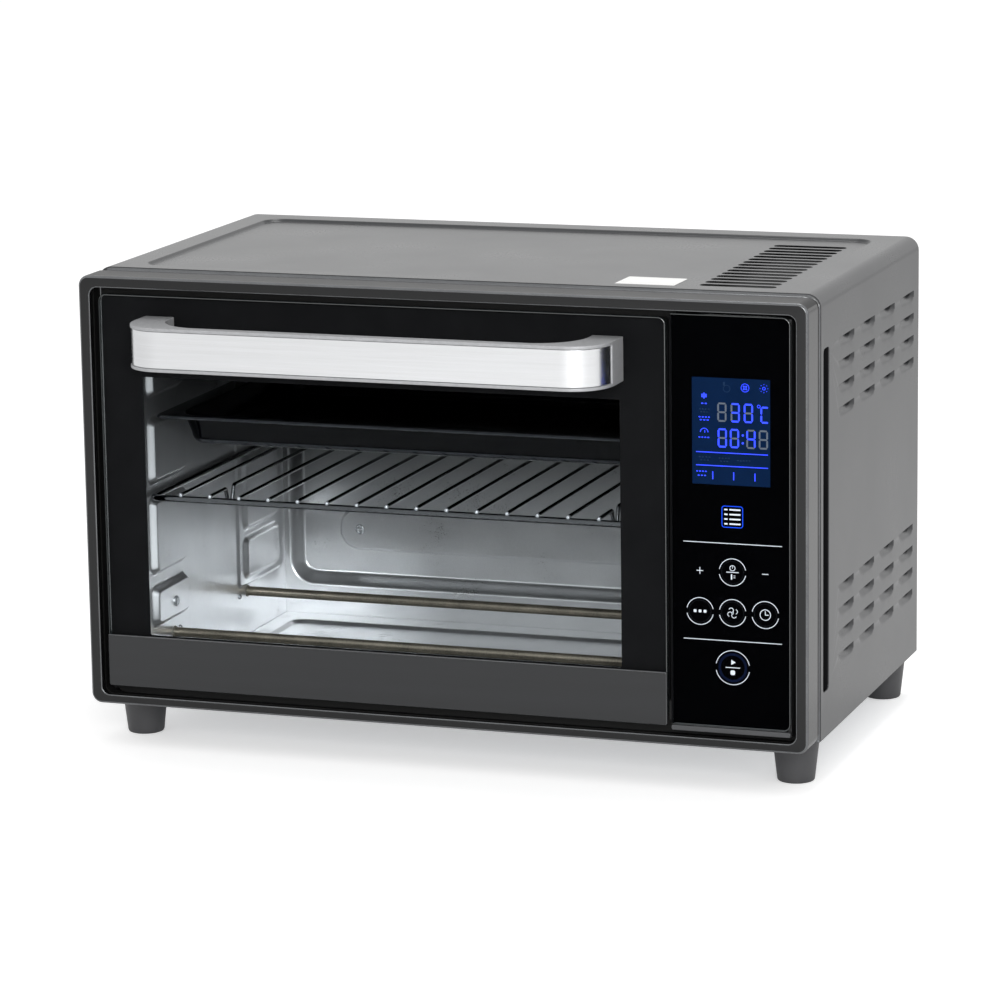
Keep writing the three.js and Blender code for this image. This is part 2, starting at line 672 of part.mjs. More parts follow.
// ---- base plate and feet ----
const insideHalf = housingHalf - SHEET - FIT_GAP;
const baseLow = sheetLow;
const baseHigh = baseLow + SHEET;
put(
  "base_plate",
  box(-insideHalf, insideHalf, spigotBack + FIT_GAP, BODY_DEPTH - 3 * SHEET, baseLow, baseHigh),
  zinc,
);
const footTop = baseLow - FIT_GAP;
const footProfile = [
  [0, 0],
  [FOOT_BOTTOM_RADIUS - 1, 0],
  [FOOT_BOTTOM_RADIUS, 1],
  [FOOT_TOP_RADIUS, footTop - 3],
  [FOOT_TOP_RADIUS, footTop],
  [0, footTop],
];
const footX = housingHalf - FOOT_INSET_X;
const footRearY = BODY_DEPTH - FOOT_REAR_INSET;
const footFrontY = housingFront + FOOT_FRONT_INSET;
for (const [end, y] of [["front", footFrontY], ["rear", footRearY]]) {
  put(`foot_${end}_left`, turned(footProfile, "z", -footX, y, 0, 20), rubber);
  put(`foot_${end}_right`, turned(footProfile, "z", footX, y, 0, 20), rubber);
}

// ---- rear panel, inside the housing's rear edge ----
const rearFront = BODY_DEPTH - 2 * SHEET;
const rearBack = rearFront + SHEET;
const screwX = housingHalf - REAR_SCREW_INSET_X;
const screwLow = sheetLow + REAR_SCREW_INSET_Z;
const screwHigh = housingTop - REAR_SCREW_INSET_Z;
const glandX = housingHalf - GLAND_INSET;
const glandZ = sheetLow + GLAND_RISE;
function rearPanel() {
  const top = housingTop - SHEET - FIT_GAP;
  const sheet = plate(
    "y", -insideHalf, insideHalf, sheetLow, top, HOUSING_CORNER_RADIUS - SHEET, rearFront, rearBack, 4,
  );
  const cuts = [rod("y", GLAND_RADIUS + FIT_GAP, glandX, rearFront - 1, glandZ, 4, 24)];
  for (const x of [-screwX, screwX]) {
    for (const z of [screwLow, screwHigh]) {
      cuts.push(rod("y", REAR_SCREW_RADIUS + FIT_GAP, x, rearFront - 1, z, 4, 12));
    }
  }
  for (let row = 0; row < REAR_VENT_ROWS; row++) {
    const z = louvreHigh - LOUVRE_PITCH * row;
    for (const column of [-1, 0, 1]) {
      const x = column * (screwX - REAR_VENT_LENGTH);
      cuts.push(
        box(
          x - REAR_VENT_LENGTH / 2, x + REAR_VENT_LENGTH / 2,
          rearFront - 1, rearBack + 1,
          z - LOUVRE_OPENING, z,
        ),
      );
    }
  }
  return sheet.subtract(union(cuts));
}
put("rear_panel", rearPanel(), paint);
const rearScrew = [
  [0, 0],
  [REAR_SCREW_RADIUS, 0],
  [REAR_SCREW_RADIUS, REAR_SCREW_LENGTH],
  [REAR_SCREW_HEAD_RADIUS, REAR_SCREW_LENGTH],
  [REAR_SCREW_HEAD_RADIUS * 0.7, REAR_SCREW_LENGTH + SCREW_HEAD],
  [0, REAR_SCREW_LENGTH + SCREW_HEAD],
];
const rearScrewStart = rearBack + FIT_GAP - REAR_SCREW_LENGTH;
for (const [side, x] of [["left", -screwX], ["right", screwX]]) {
  for (const [level, z] of [["lower", screwLow], ["upper", screwHigh]]) {
    put(`rear_screw_${level}_${side}`, turned(rearScrew, "y", x, rearScrewStart, z, 12), zinc);
  }
}

// ---- cavity ----
const wallLow = frameLow + FRAME_WALL + 2 * FIT_GAP;
const wallHigh = cavityRoof + SHEET;
const wallBack = cavityBack - FIT_GAP;
const elementPlaces = [
  ["lower_front", elementFront, elementLow],
  ["lower_rear", elementRear, elementLow],
  ["upper_front", elementFront, elementHigh],
  ["upper_rear", elementRear, elementHigh],
];
const guides = [
  [cavityFloor + GUIDE_LOW_RISE, GUIDE_LOW_HEIGHT],
  [guideRackZ, GUIDE_RACK_HEIGHT],
  [guideTrayZ, GUIDE_TRAY_HEIGHT],
];
const padEdges = [
  cavityFloor + PAD_BOTTOM_RISE,
  ...guides.flatMap(([z, height]) => [z - height / 2, z + height / 2]),
  cavityRoof - PAD_TOP_DROP - PAD_BEVEL,
];
const padColumns = [
  [cavityFront + PAD_FRONT_INSET, cavityFront + PAD_FRONT_INSET + PAD_FRONT_LENGTH],
  [cavityBack - PAD_REAR_INSET - PAD_REAR_LENGTH, cavityBack - PAD_REAR_INSET],
];
function sideWall(side) {
  const inner = side < 0 ? cavityLeft : cavityRight;
  const outer = inner + side * SHEET;
  const [x0, x1] = [Math.min(inner, outer), Math.max(inner, outer)];
  const parts = [box(x0, x1, cavityFront, wallBack, wallLow, wallHigh)];
  for (const [y0, y1] of padColumns) {
    for (let i = 0; i < padEdges.length; i += 2) {
      parts.push(
        pressing("x", y0, y1, padEdges[i], padEdges[i + 1], 4, inner, inner - side * PAD_RISE, PAD_BEVEL),
      );
    }
  }
  const cuts = elementPlaces.map(([, y, z]) =>
    rod("x", ELEMENT_RADIUS + ELEMENT_CLEARANCE, x0 - PAD_RISE - 1, y, z, SHEET + 2 * PAD_RISE + 2, 12),
  );
  return union(parts).subtract(union(cuts));
}
put("cavity_left_wall", sideWall(-1), aluminised);

const rightOuter = cavityRight + SHEET;
function rightWall() {
  const cuts = [];
  for (let i = 0; i < FAN_SLOTS; i++) {
    const slot = new THREE.BoxGeometry(20, FAN_SLOT_OUTER - FAN_SLOT_INNER, FAN_SLOT_WIDTH);
    slot.translate(0, (FAN_SLOT_OUTER + FAN_SLOT_INNER) / 2, 0);
    slot.rotateX((2 * Math.PI * (i + 0.5)) / FAN_SLOTS);
    cuts.push(solid(slot.translate(cavityRight, fanY, fanZ)));
  }
  cuts.push(rod("x", LAMP_GLASS_RADIUS + FIT_GAP, cavityRight - 6, lampY, lampZ, 12, 24));
  cuts.push(rod("x", PROBE_RADIUS + FIT_GAP, cavityRight - 6, probeY, probeZ, 12, 16));
  return sideWall(1).subtract(union(cuts));
}
put("cavity_right_wall", rightWall(), aluminised);

const backBack = cavityBack + SHEET;
function backWall() {
  const [x0, x1] = [cavityLeft - SHEET, cavityRight + SHEET];
  const [u0, u1] = [cavityLeft + POCKET_SIDE_INSET, cavityRight - POCKET_SIDE_INSET];
  const [v0, v1] = [cavityFloor + POCKET_LOW_INSET, cavityRoof - POCKET_LOW_INSET];
  const outside = pressing(
    "y",
    u0 - SHEET,
    u1 + SHEET,
    v0 - SHEET,
    v1 + SHEET,
    POCKET_RADIUS + SHEET,
    cavityBack + 0.2,
    backBack + POCKET_DEPTH,
    POCKET_DEPTH * 0.7,
  );
  const inside = pressing(
    "y", u0, u1, v0, v1, POCKET_RADIUS, cavityBack - 0.2, cavityBack + POCKET_DEPTH, POCKET_DEPTH * 0.7,
  );
  const pill = plate(
    "y",
    cavityLeft + PILL_SIDE_INSET,
    cavityRight - PILL_SIDE_INSET,
    cavityFloor + PILL_LOW_INSET,
    cavityFloor + PILL_LOW_INSET + PILL_HEIGHT,
    PILL_HEIGHT / 2,
    cavityBack + POCKET_DEPTH - 0.6,
    cavityBack + POCKET_DEPTH + SHEET / 2,
  );
  return box(x0, x1, cavityBack, backBack, wallLow, wallHigh).add(outside).subtract(inside).add(pill);
}
put("cavity_back_wall", backWall(), aluminised);

const panelEdge = FIT_GAP;
put(
  "cavity_roof",
  box(cavityLeft + panelEdge, cavityRight - panelEdge, cavityFront, wallBack, cavityRoof, cavityRoof + SHEET),
  aluminised,
);
function floorPan() {
  const [x0, x1] = [cavityLeft + panelEdge, cavityRight - panelEdge];
  const [y0, y1] = [cavityFront, wallBack];
  const [u0, u1] = [x0 + PAN_RIM_SIDE, x1 - PAN_RIM_SIDE];
  const [v0, v1] = [y0 + PAN_RIM_FRONT, y1 - PAN_RIM_REAR];
  const rim = box(x0, x1, y0, y1, cavityFloor - SHEET, cavityFloor);
  const skin = SHEET * 0.8;
  const drawn = pressing("z", u0, u1, v0, v1, 8, cavityFloor - 0.2, cavityFloor - PAN_DEPTH, PAN_DEPTH);
  const dish = pressing(
    "z",
    u0 + skin,
    u1 - skin,
    v0 + skin,
    v1 - skin,
    8,
    cavityFloor + 0.2,
    cavityFloor - PAN_DEPTH + skin,
    PAN_DEPTH,
  );
  return rim.add(drawn).subtract(dish);
}
put("cavity_floor", floorPan(), aluminised);

// ---- heating elements: rod heaters across the cavity ----
function element(y, z) {
  const [x0, x1] = [cavityLeft - SHEET - FIT_GAP, cavityRight + SHEET + FIT_GAP];
  const collar = COLLAR_LENGTH;
  const end = collar + TERMINAL_LENGTH;
  const span = x1 - x0;
  return turned(
    [
      [0, -end],
      [TERMINAL_RADIUS, -end],
      [TERMINAL_RADIUS, -collar],
      [COLLAR_RADIUS, -collar],
      [COLLAR_RADIUS, 0],
      [ELEMENT_RADIUS, 0],
      [ELEMENT_RADIUS, span],
      [COLLAR_RADIUS, span],
      [COLLAR_RADIUS, span + collar],
      [TERMINAL_RADIUS, span + collar],
      [TERMINAL_RADIUS, span + end],
      [0, span + end],
    ],
    "x",
    x0,
    y,
    z,
    12,
  );
}
for (const [name, y, z] of elementPlaces) put(`element_${name}`, element(y, z), sheath);

// ---- convection fan behind the right wall ----
const fanBoxLeft = rightOuter + FIT_GAP;
const fanBoxRight = fanBoxLeft + FAN_BOX_DEPTH;
function fanBox() {
  const cup = turned(
    [[0, 0], [FAN_BOX_RADIUS, 0], [FAN_BOX_RADIUS, FAN_BOX_DEPTH], [0, FAN_BOX_DEPTH]],
    "x",
    fanBoxLeft,
    fanY,
    fanZ,
    32,
  );
  const hollow = rod("x", FAN_BOX_RADIUS - SHEET, fanBoxLeft - 1, fanY, fanZ, FAN_BOX_DEPTH + 1 - SHEET, 32);
  const shaftHole = rod("x", FAN_SHAFT_RADIUS + 1, fanBoxRight - 4, fanY, fanZ, 8, 12);
  return cup.subtract(hollow).subtract(shaftHole);
}
put("fan_housing", fanBox(), zinc);
const bladeMiddle = fanBoxLeft + FAN_BOX_DEPTH / 2 - 1;
function fanBlade() {
  const half = FAN_BLADE_WIDTH / 2;
  const parts = [rod("x", FAN_HUB_RADIUS, bladeMiddle - half, fanY, fanZ, FAN_BLADE_WIDTH, 16)];
  const shaftEnd = fanBoxRight + FAN_SHAFT_REACH;
  parts.push(rod("x", FAN_SHAFT_RADIUS, bladeMiddle, fanY, fanZ, shaftEnd - bladeMiddle, 32));
  for (let i = 0; i < FAN_BLADE_COUNT; i++) {
    const root = FAN_HUB_RADIUS * 0.7;
    const blade = new THREE.BoxGeometry(FAN_BLADE_SHEET, FAN_BLADE_RADIUS - root, FAN_BLADE_WIDTH);
    blade.rotateY(Math.PI / 4);
    blade.translate(0, (FAN_BLADE_RADIUS + root) / 2, 0);
    blade.rotateX((2 * Math.PI * i) / FAN_BLADE_COUNT);
    parts.push(solid(blade.translate(bladeMiddle, fanY, fanZ)));
  }
  return union(parts);
}
put("fan_blade", fanBlade(), satin);
const motorLeft = fanBoxRight + FIT_GAP;
function fanMotor() {
  const can = turned(
    [
      [0, 0],
      [MOTOR_RADIUS, 0],
      [MOTOR_RADIUS, MOTOR_LENGTH * 0.6],
      [MOTOR_RADIUS * 0.6, MOTOR_LENGTH * 0.6],
      [MOTOR_RADIUS * 0.6, MOTOR_LENGTH],
      [0, MOTOR_LENGTH],
    ],
    "x",
    motorLeft,
    fanY,
    fanZ,
  );
  const [halfWidth, halfHeight] = [MOTOR_CORE_WIDTH / 2, MOTOR_CORE_HEIGHT / 2];
  const core = box(
    motorLeft,
    motorLeft + MOTOR_CORE_LENGTH,
    fanY - halfWidth,
    fanY + halfWidth,
    fanZ - halfHeight,
    fanZ + halfHeight,
  );
  const bearing = rod(
    "x", FAN_SHAFT_RADIUS + PIN_CLEARANCE, motorLeft - 1, fanY, fanZ, FAN_SHAFT_REACH + 2, 32,
  );
  return can.add(core).subtract(bearing);
}
put("fan_motor", fanMotor(), darkSteel);

// ---- cavity lamp and temperature probe ----
const lampFlangeLeft = rightOuter + FIT_GAP;
function lampCover() {
  const shoulder = -LAMP_GLASS_WALL;
  const dome = turned(
    [
      [0, shoulder - LAMP_DOME],
      [LAMP_GLASS_RADIUS * 0.75, shoulder - LAMP_DOME * 0.7],
      [LAMP_GLASS_RADIUS, shoulder],
      [LAMP_GLASS_RADIUS, 0],
      [LAMP_FLANGE_RADIUS, 0],
      [LAMP_FLANGE_RADIUS, LAMP_FLANGE],
      [0, LAMP_FLANGE],
    ],
    "x",
    lampFlangeLeft,
    lampY,
    lampZ,
  );
  const hollowFront = lampFlangeLeft + shoulder - LAMP_DOME / 3;
  const hollow = LAMP_DOME + LAMP_GLASS_WALL + LAMP_FLANGE;
  return dome.subtract(rod("x", LAMP_GLASS_RADIUS - LAMP_GLASS_WALL, hollowFront, lampY, lampZ, hollow, 24));
}
put("lamp_cover", lampCover(), lampGlass);
const holderLeft = lampFlangeLeft + LAMP_FLANGE + FIT_GAP;
function lampHolder() {
  const can = rod("x", LAMP_FLANGE_RADIUS, holderLeft, lampY, lampZ, LAMP_HOLDER_LENGTH);
  const hollow = LAMP_HOLDER_LENGTH - LAMP_HOLDER_WALL;
  return can.subtract(
    rod("x", LAMP_FLANGE_RADIUS - LAMP_HOLDER_WALL, holderLeft - 1, lampY, lampZ, hollow + 1),
  );
}
put("lamp_holder", lampHolder(), ceramicWhite);
const bulbLength = LAMP_HOLDER_LENGTH - LAMP_HOLDER_WALL - FIT_GAP;
put(
  "lamp_bulb",
  turned(
    [
      [0, 1],
      [LAMP_BULB_RADIUS * 0.7, bulbLength * 0.12],
      [LAMP_BULB_RADIUS, bulbLength * 0.4],
      [LAMP_BULB_RADIUS * 0.8, bulbLength * 0.65],
      [LAMP_BULB_RADIUS * 0.5, bulbLength * 0.8],
      [LAMP_BULB_RADIUS * 0.5, bulbLength],
      [0, bulbLength],
    ],
    "x",
    holderLeft,
    lampY,
    lampZ,
    16,
  ),
  lampGlass,
);
const probeSeat = SHEET + FIT_GAP;
put(
  "temperature_probe",
  turned(
    [
      [0, -PROBE_REACH],
      [PROBE_RADIUS * 0.7, -PROBE_REACH],
      [PROBE_RADIUS, PROBE_RADIUS * 0.3 - PROBE_REACH],
      [PROBE_RADIUS, probeSeat],
      [PROBE_RADIUS * 2.4, probeSeat],
      [PROBE_RADIUS * 2.4, probeSeat + PROBE_COLLAR],
      [PROBE_RADIUS * 0.8, probeSeat + PROBE_COLLAR],
      [PROBE_RADIUS * 0.8, probeSeat + PROBE_COLLAR + PROBE_TAIL],
      [0, probeSeat + PROBE_COLLAR + PROBE_TAIL],
    ],
    "x",
    cavityRight,
    probeY,
    probeZ,
    16,
  ),
  chrome,
);

// ---- door ----
const handleHigh = doorHigh - HANDLE_TOP_INSET;
const handleLow = handleHigh - HANDLE_HEIGHT;
const handleMiddle = (handleHigh + handleLow) / 2;
const handleLeft = doorLeft + HANDLE_END_INSET;
const handleRight = doorRight - HANDLE_END_INSET;
const handleFront = DOOR_FACE_SETBACK - HANDLE_REACH;
const handleScrews = [
  ["left", handleLeft + HANDLE_POST / 2],
  ["right", handleRight - HANDLE_POST / 2],
];
const screwHoles = (from, to) =>
  union(
    handleScrews.map(
      ([, x]) => rod("y", HANDLE_SCREW_RADIUS + FIT_GAP, x, from - 1, handleMiddle, to - from + 2, 12),
    ),
  );
function doorFrame() {
  const body = plate(
    "y", doorLeft, doorRight, doorLow + 2 * SHEET, doorHigh, DOOR_CORNER_RADIUS, doorFrameFront, DOOR_BACK, 4,
  );
  const opening = plate(
    "y",
    windowLeft,
    windowRight,
    railHigh,
    windowHigh,
    WINDOW_CORNER_RADIUS,
    doorFrameFront - 1,
    DOOR_BACK + 1,
    3,
  );
  const bores = [-1, 1].map((side) => {
    const x = side < 0 ? doorLeft - 1 : doorRight - HINGE_PIN_REACH - 1;
    return rod("x", HINGE_PIN_RADIUS + PIN_CLEARANCE, x, HINGE_SETBACK, hingeZ, HINGE_PIN_REACH + 2, 32);
  });
  return body.subtract(opening).subtract(union(bores)).subtract(screwHoles(doorFrameFront, DOOR_BACK));
}
put("door_frame", doorFrame(), blackPlastic);
put(
  "door_glass",
  plate(
    "y", doorLeft, doorRight, doorLow + 2 * SHEET, doorHigh,
    DOOR_CORNER_RADIUS, DOOR_FACE_SETBACK, doorGlassBack, 4,
  ).subtract(screwHoles(DOOR_FACE_SETBACK, doorGlassBack)),
  doorGlass,
);
// The rail is a bent sheet: a front face and a return under the door.
put(
  "door_rail",
  box(doorLeft, doorRight, RAIL_SETBACK, RAIL_SETBACK + SHEET, doorLow, railHigh).add(
    box(doorLeft, doorRight, RAIL_SETBACK, RAIL_SETBACK + RAIL_RETURN, doorLow, doorLow + SHEET),
  ),
  darkSteel,
);

// ---- handle: a bar with swept ends that return to the door ----
const handleBack = DOOR_FACE_SETBACK - FIT_GAP;
// The band between two outlines, round the front and part of the way along the swept ends.
function handleBand(outerInset, innerInset, low, high, reach) {
  const outer = prism(handleOutline(outerInset), "z", low, high, 10);
  const inner = prism(handleOutline(innerInset), "z", low - 1, high + 1, 10);
  const front = box(doorLeft, doorRight, handleFront - 2, handleFront + reach, low, high);
  return outer.subtract(inner).intersect(front);
}
function handleOutline(inset) {
  const [x0, x1] = [handleLeft + inset, handleRight - inset];
  const y0 = handleFront + inset;
  const r = HANDLE_CORNER_RADIUS - inset;
  const shape = new THREE.Shape();
  shape.moveTo(x0, handleBack);
  shape.lineTo(x0, y0 + r);
  shape.absarc(x0 + r, y0 + r, r, Math.PI, 1.5 * Math.PI, false);
  shape.lineTo(x1 - r, y0);
  shape.absarc(x1 - r, y0 + r, r, -Math.PI / 2, 0, false);
  shape.lineTo(x1, handleBack);
  return shape;
}
function handleBody() {
  const solidBar = prism(handleOutline(0), "z", handleLow, handleHigh, 10);
  const grip = plate(
    "z",
    handleLeft + HANDLE_POST,
    handleRight - HANDLE_POST,
    handleFront + HANDLE_BAR,
    handleBack + HANDLE_CORNER_RADIUS,
    HANDLE_CORNER_RADIUS - HANDLE_BAR,
    handleLow - 1,
    handleHigh + 1,
    6,
  );
  const recess = handleBand(-1, STRIP_RECESS, handleLow + HANDLE_EDGE, handleHigh - HANDLE_EDGE, STRIP_REACH);
  const bores = handleScrews.map(([, x]) =>
    rod(
      "y", HANDLE_SCREW_RADIUS + FIT_GAP,
      x, handleBack - HANDLE_SCREW_DEPTH - 1, handleMiddle,
      HANDLE_SCREW_DEPTH + 2, 12,
    ),
  );
  return solidBar.subtract(grip).subtract(recess).subtract(union(bores));
}
put("handle_body", handleBody(), satin);
const stripInset = STRIP_RECESS - FIT_GAP;
put(
  "handle_strip",
  handleBand(
    stripInset - STRIP_THICKNESS,
    stripInset,
    handleLow + HANDLE_EDGE + FIT_GAP,
    handleHigh - HANDLE_EDGE - FIT_GAP,
    STRIP_REACH - FIT_GAP,
  ),
  brightStrip,
);
for (const [side, x] of handleScrews) {
  const start = handleBack - HANDLE_SCREW_DEPTH;
  const shank = DOOR_BACK + FIT_GAP - start;
  put(
    `handle_screw_${side}`,
    turned(
      [
        [0, 0],
        [HANDLE_SCREW_RADIUS, 0],
        [HANDLE_SCREW_RADIUS, shank],
        [HANDLE_SCREW_HEAD_RADIUS, shank],
        [HANDLE_SCREW_HEAD_RADIUS, shank + SCREW_HEAD / 2],
        [HANDLE_SCREW_HEAD_RADIUS * 0.6, shank + SCREW_HEAD],
        [0, shank + SCREW_HEAD],
      ],
      "y",
      x,
      start,
      handleMiddle,
      12,
    ),
    zinc,
  );
}

// ---- hinges: a plate on the bulkhead with a riveted pin that enters the door ----
function hinge(side) {
  const doorSide = side < 0 ? doorLeft : doorRight;
  const near = doorSide + side * 2 * FIT_GAP;
  const far = near + side * HINGE_PLATE;
  const [x0, x1] = [Math.min(near, far), Math.max(near, far)];
  const half = HINGE_PLATE_HEIGHT / 2;
  const ear = plate(
    "x",
    HINGE_SETBACK - half + 1,
    BULKHEAD_SETBACK - FIT_GAP,
    hingeZ - half + 1,
    hingeZ + half,
    2,
    x0,
    x1,
    3,
  );
  const tip = doorSide - side * HINGE_PIN_REACH;
  const [p0, p1] = [Math.min(tip, far), Math.max(tip, far)];
  return ear.add(rod("x", HINGE_PIN_RADIUS, p0, HINGE_SETBACK, hingeZ, p1 - p0, 32));
}
put("hinge_left", hinge(-1), zinc);
put("hinge_right", hinge(1), zinc);

// ---- control panel ----
const glassBack = PANEL_SETBACK + GLASS_THICKNESS;
put(
  "panel_glass",
  plate("y", panelLeft, panelRight, panelLow, panelHigh, PANEL_CORNER_RADIUS, PANEL_SETBACK, glassBack, 4),
  panelGlass,
);
put(
  "panel_strip",
  plate(
    "y", panelLeft, panelRight, stripLow, panelLow - FIT_GAP, STRIP_HEIGHT / 2, PANEL_SETBACK, glassBack, 3,
  ),
  stripGrey,
);
const carrierFront = glassBack + FIT_GAP;
const innerLeft = panelLeft + CARRIER_WALL;
const innerRight = panelRight - CARRIER_WALL;
put(
  "panel_carrier",
  box(panelLeft, panelRight, carrierFront, CARRIER_BACK, stripLow, panelHigh).subtract(
    box(
      innerLeft, innerRight,
      carrierFront - 1, CARRIER_BACK + 1,
      stripLow + CARRIER_WALL, panelHigh - CARRIER_WALL,
    ),
  ),
  blackPlastic,
);
const panelMiddle = (panelLeft + panelRight) / 2;
const displayHigh = panelHigh - DISPLAY_TOP_INSET;
put(
  "display_module",
  box(
    panelMiddle - DISPLAY_WIDTH / 2,
    panelMiddle + DISPLAY_WIDTH / 2,
    carrierFront,
    carrierFront + DISPLAY_THICKNESS,
    displayHigh - DISPLAY_HEIGHT,
    displayHigh,
  ),
  display,
);
function touchBoard() {
  const [x0, x1] = [innerLeft + FIT_GAP, innerRight - FIT_GAP];
  const front = TOUCH_BOARD_SETBACK;
  const back = front + BOARD_THICKNESS;
  const high = displayHigh + TOUCH_BOARD_HIGH;
  const low = panelLow + TOUCH_BOARD_LOW;
  const seat = back - SOLDER_OVERLAP;
  const chip = box(
    panelMiddle - CHIP_SIDE / 2,
    panelMiddle + CHIP_SIDE / 2,
    seat,
    back + CHIP_THICKNESS,
    low + CHIP_RISE,
    low + CHIP_RISE + CHIP_SIDE,
  );
  const buzzerDepth = BUZZER_THICKNESS + SOLDER_OVERLAP;
  const buzzer = rod(
    "y", BUZZER_RADIUS, panelMiddle - BUZZER_OFFSET, seat, low + BUZZER_RISE, buzzerDepth, 16,
  );
  const plug = box(
    panelMiddle + PLUG_OFFSET - PLUG_WIDTH / 2,
    panelMiddle + PLUG_OFFSET + PLUG_WIDTH / 2,
    seat,
    back + PLUG_THICKNESS,
    low + PLUG_RISE,
    low + PLUG_RISE + PLUG_HEIGHT,
  );
  return box(x0, x1, front, back, low, high).add(chip).add(buzzer).add(plug);
}
put("touch_board", touchBoard(), board);

// ---- power board and its bracket beside the right housing side ----
const boardRight = housingHalf - SHEET - BOARD_SIDE_GAP;
const boardLeft = boardRight - BOARD_THICKNESS;
const boardRear = BODY_DEPTH - BOARD_REAR_INSET;
const boardFront = boardRear - BOARD_LENGTH;
const boardLow = baseHigh + BOARD_RISE;
const boardHigh = boardLow + BOARD_HEIGHT;
function powerBoard() {
  const parts = [box(boardLeft, boardRight, boardFront, boardRear, boardLow, boardHigh)];
  const seat = boardLeft + SOLDER_OVERLAP;
  const relayHigh = boardHigh - PART_MARGIN;
  for (let i = 0; i < RELAY_COUNT; i++) {
    const y = boardFront + PART_MARGIN + i * RELAY_PITCH;
    parts.push(box(boardLeft - RELAY_DEPTH, seat, y, y + RELAY_LENGTH, relayHigh - RELAY_HEIGHT, relayHigh));
  }
  const [coilY, coilZ] = [boardFront + PART_MARGIN, boardLow + PART_MARGIN];
  parts.push(
    box(
      boardLeft - TRANSFORMER_DEPTH, seat,
      coilY, coilY + TRANSFORMER_LENGTH,
      coilZ, coilZ + TRANSFORMER_HEIGHT,
    ),
  );
  const canZ = boardLow + PART_MARGIN + CAPACITOR_RADIUS;
  for (const y of [boardFront + CAPACITOR_OFFSET, boardFront + CAPACITOR_OFFSET + 3 * CAPACITOR_RADIUS]) {
    parts.push(
      rod("x", CAPACITOR_RADIUS, boardLeft - CAPACITOR_DEPTH, y, canZ, CAPACITOR_DEPTH + SOLDER_OVERLAP, 16),
    );
  }
  return union(parts);
}
put("power_board", powerBoard(), board);
function boardBracket() {
  const x0 = boardRight + FIT_GAP;
  const [y0, y1] = [boardFront - BRACKET_MARGIN, boardRear + BRACKET_MARGIN];
  const low = baseHigh + FIT_GAP;
  const face = box(x0, x0 + SHEET, y0, y1, low, boardHigh + BRACKET_MARGIN);
  const foot = box(x0 - BRACKET_FOOT, x0 + SHEET, y0, y1, low, low + SHEET);
  return face.add(foot);
}
put("board_bracket", boardBracket(), zinc);
function terminalBlock() {
  const [x0, z0] = [panelMiddle - TERMINAL_LEFT, baseHigh + FIT_GAP];
  const x1 = x0 + TERMINAL_WIDTH;
  const y0 = boardRear - TERMINAL_POLES * TERMINAL_PITCH;
  const y1 = boardRear + TERMINAL_WALL;
  const parts = [box(x0, x1, y0, y1, z0, z0 + TERMINAL_BASE)];
  for (let i = 0; i < TERMINAL_POLES; i++) {
    const y = y0 + TERMINAL_WALL + i * TERMINAL_PITCH;
    const [left, right] = [x0 + TERMINAL_WALL, x1 - TERMINAL_WALL];
    parts.push(
      box(left, right, y, y + TERMINAL_PITCH - TERMINAL_WALL, z0 + TERMINAL_BASE / 2, z0 + TERMINAL_HEIGHT),
    );
  }
  return union(parts);
}
put("terminal_block", terminalBlock(), blackPlastic);
// Overheat cut-out, clipped on the cavity roof.
put(
  "thermal_cutout",
  turned(
    [
      [0, 0],
      [CUTOUT_RADIUS, 0],
      [CUTOUT_RADIUS, CUTOUT_BASE],
      [CUTOUT_RADIUS * 0.6, CUTOUT_BASE],
      [CUTOUT_RADIUS * 0.6, CUTOUT_HEIGHT],
      [0, CUTOUT_HEIGHT],
    ],
    "z",
    cavityMiddle,
    fanY,
    cavityRoof + SHEET + FIT_GAP,
    20,
  ),
  blackPlastic,
);
// Gland where the supply lead would enter.
function gland() {
  const rearEnd = BODY_DEPTH + GLAND_PROUD;
  const nutFront = rearFront - FIT_GAP - GLAND_NUT;
  const body = turned(
    [
      [0, 0],
      [GLAND_FLANGE_RADIUS, 0],
      [GLAND_FLANGE_RADIUS, GLAND_NUT],
      [GLAND_RADIUS, GLAND_NUT],
      [GLAND_RADIUS, rearBack + FIT_GAP - nutFront],
      [GLAND_FLANGE_RADIUS, rearBack + FIT_GAP - nutFront],
      [GLAND_FLANGE_RADIUS - 1, rearEnd - nutFront],
      [0, rearEnd - nutFront],
    ],
    "y",
    glandX,
    nutFront,
    glandZ,
  );
  return body.subtract(rod("y", GLAND_BORE_RADIUS, glandX, nutFront - 1, glandZ, rearEnd - nutFront + 2, 24));
}
put("cord_gland", gland(), blackPlastic);

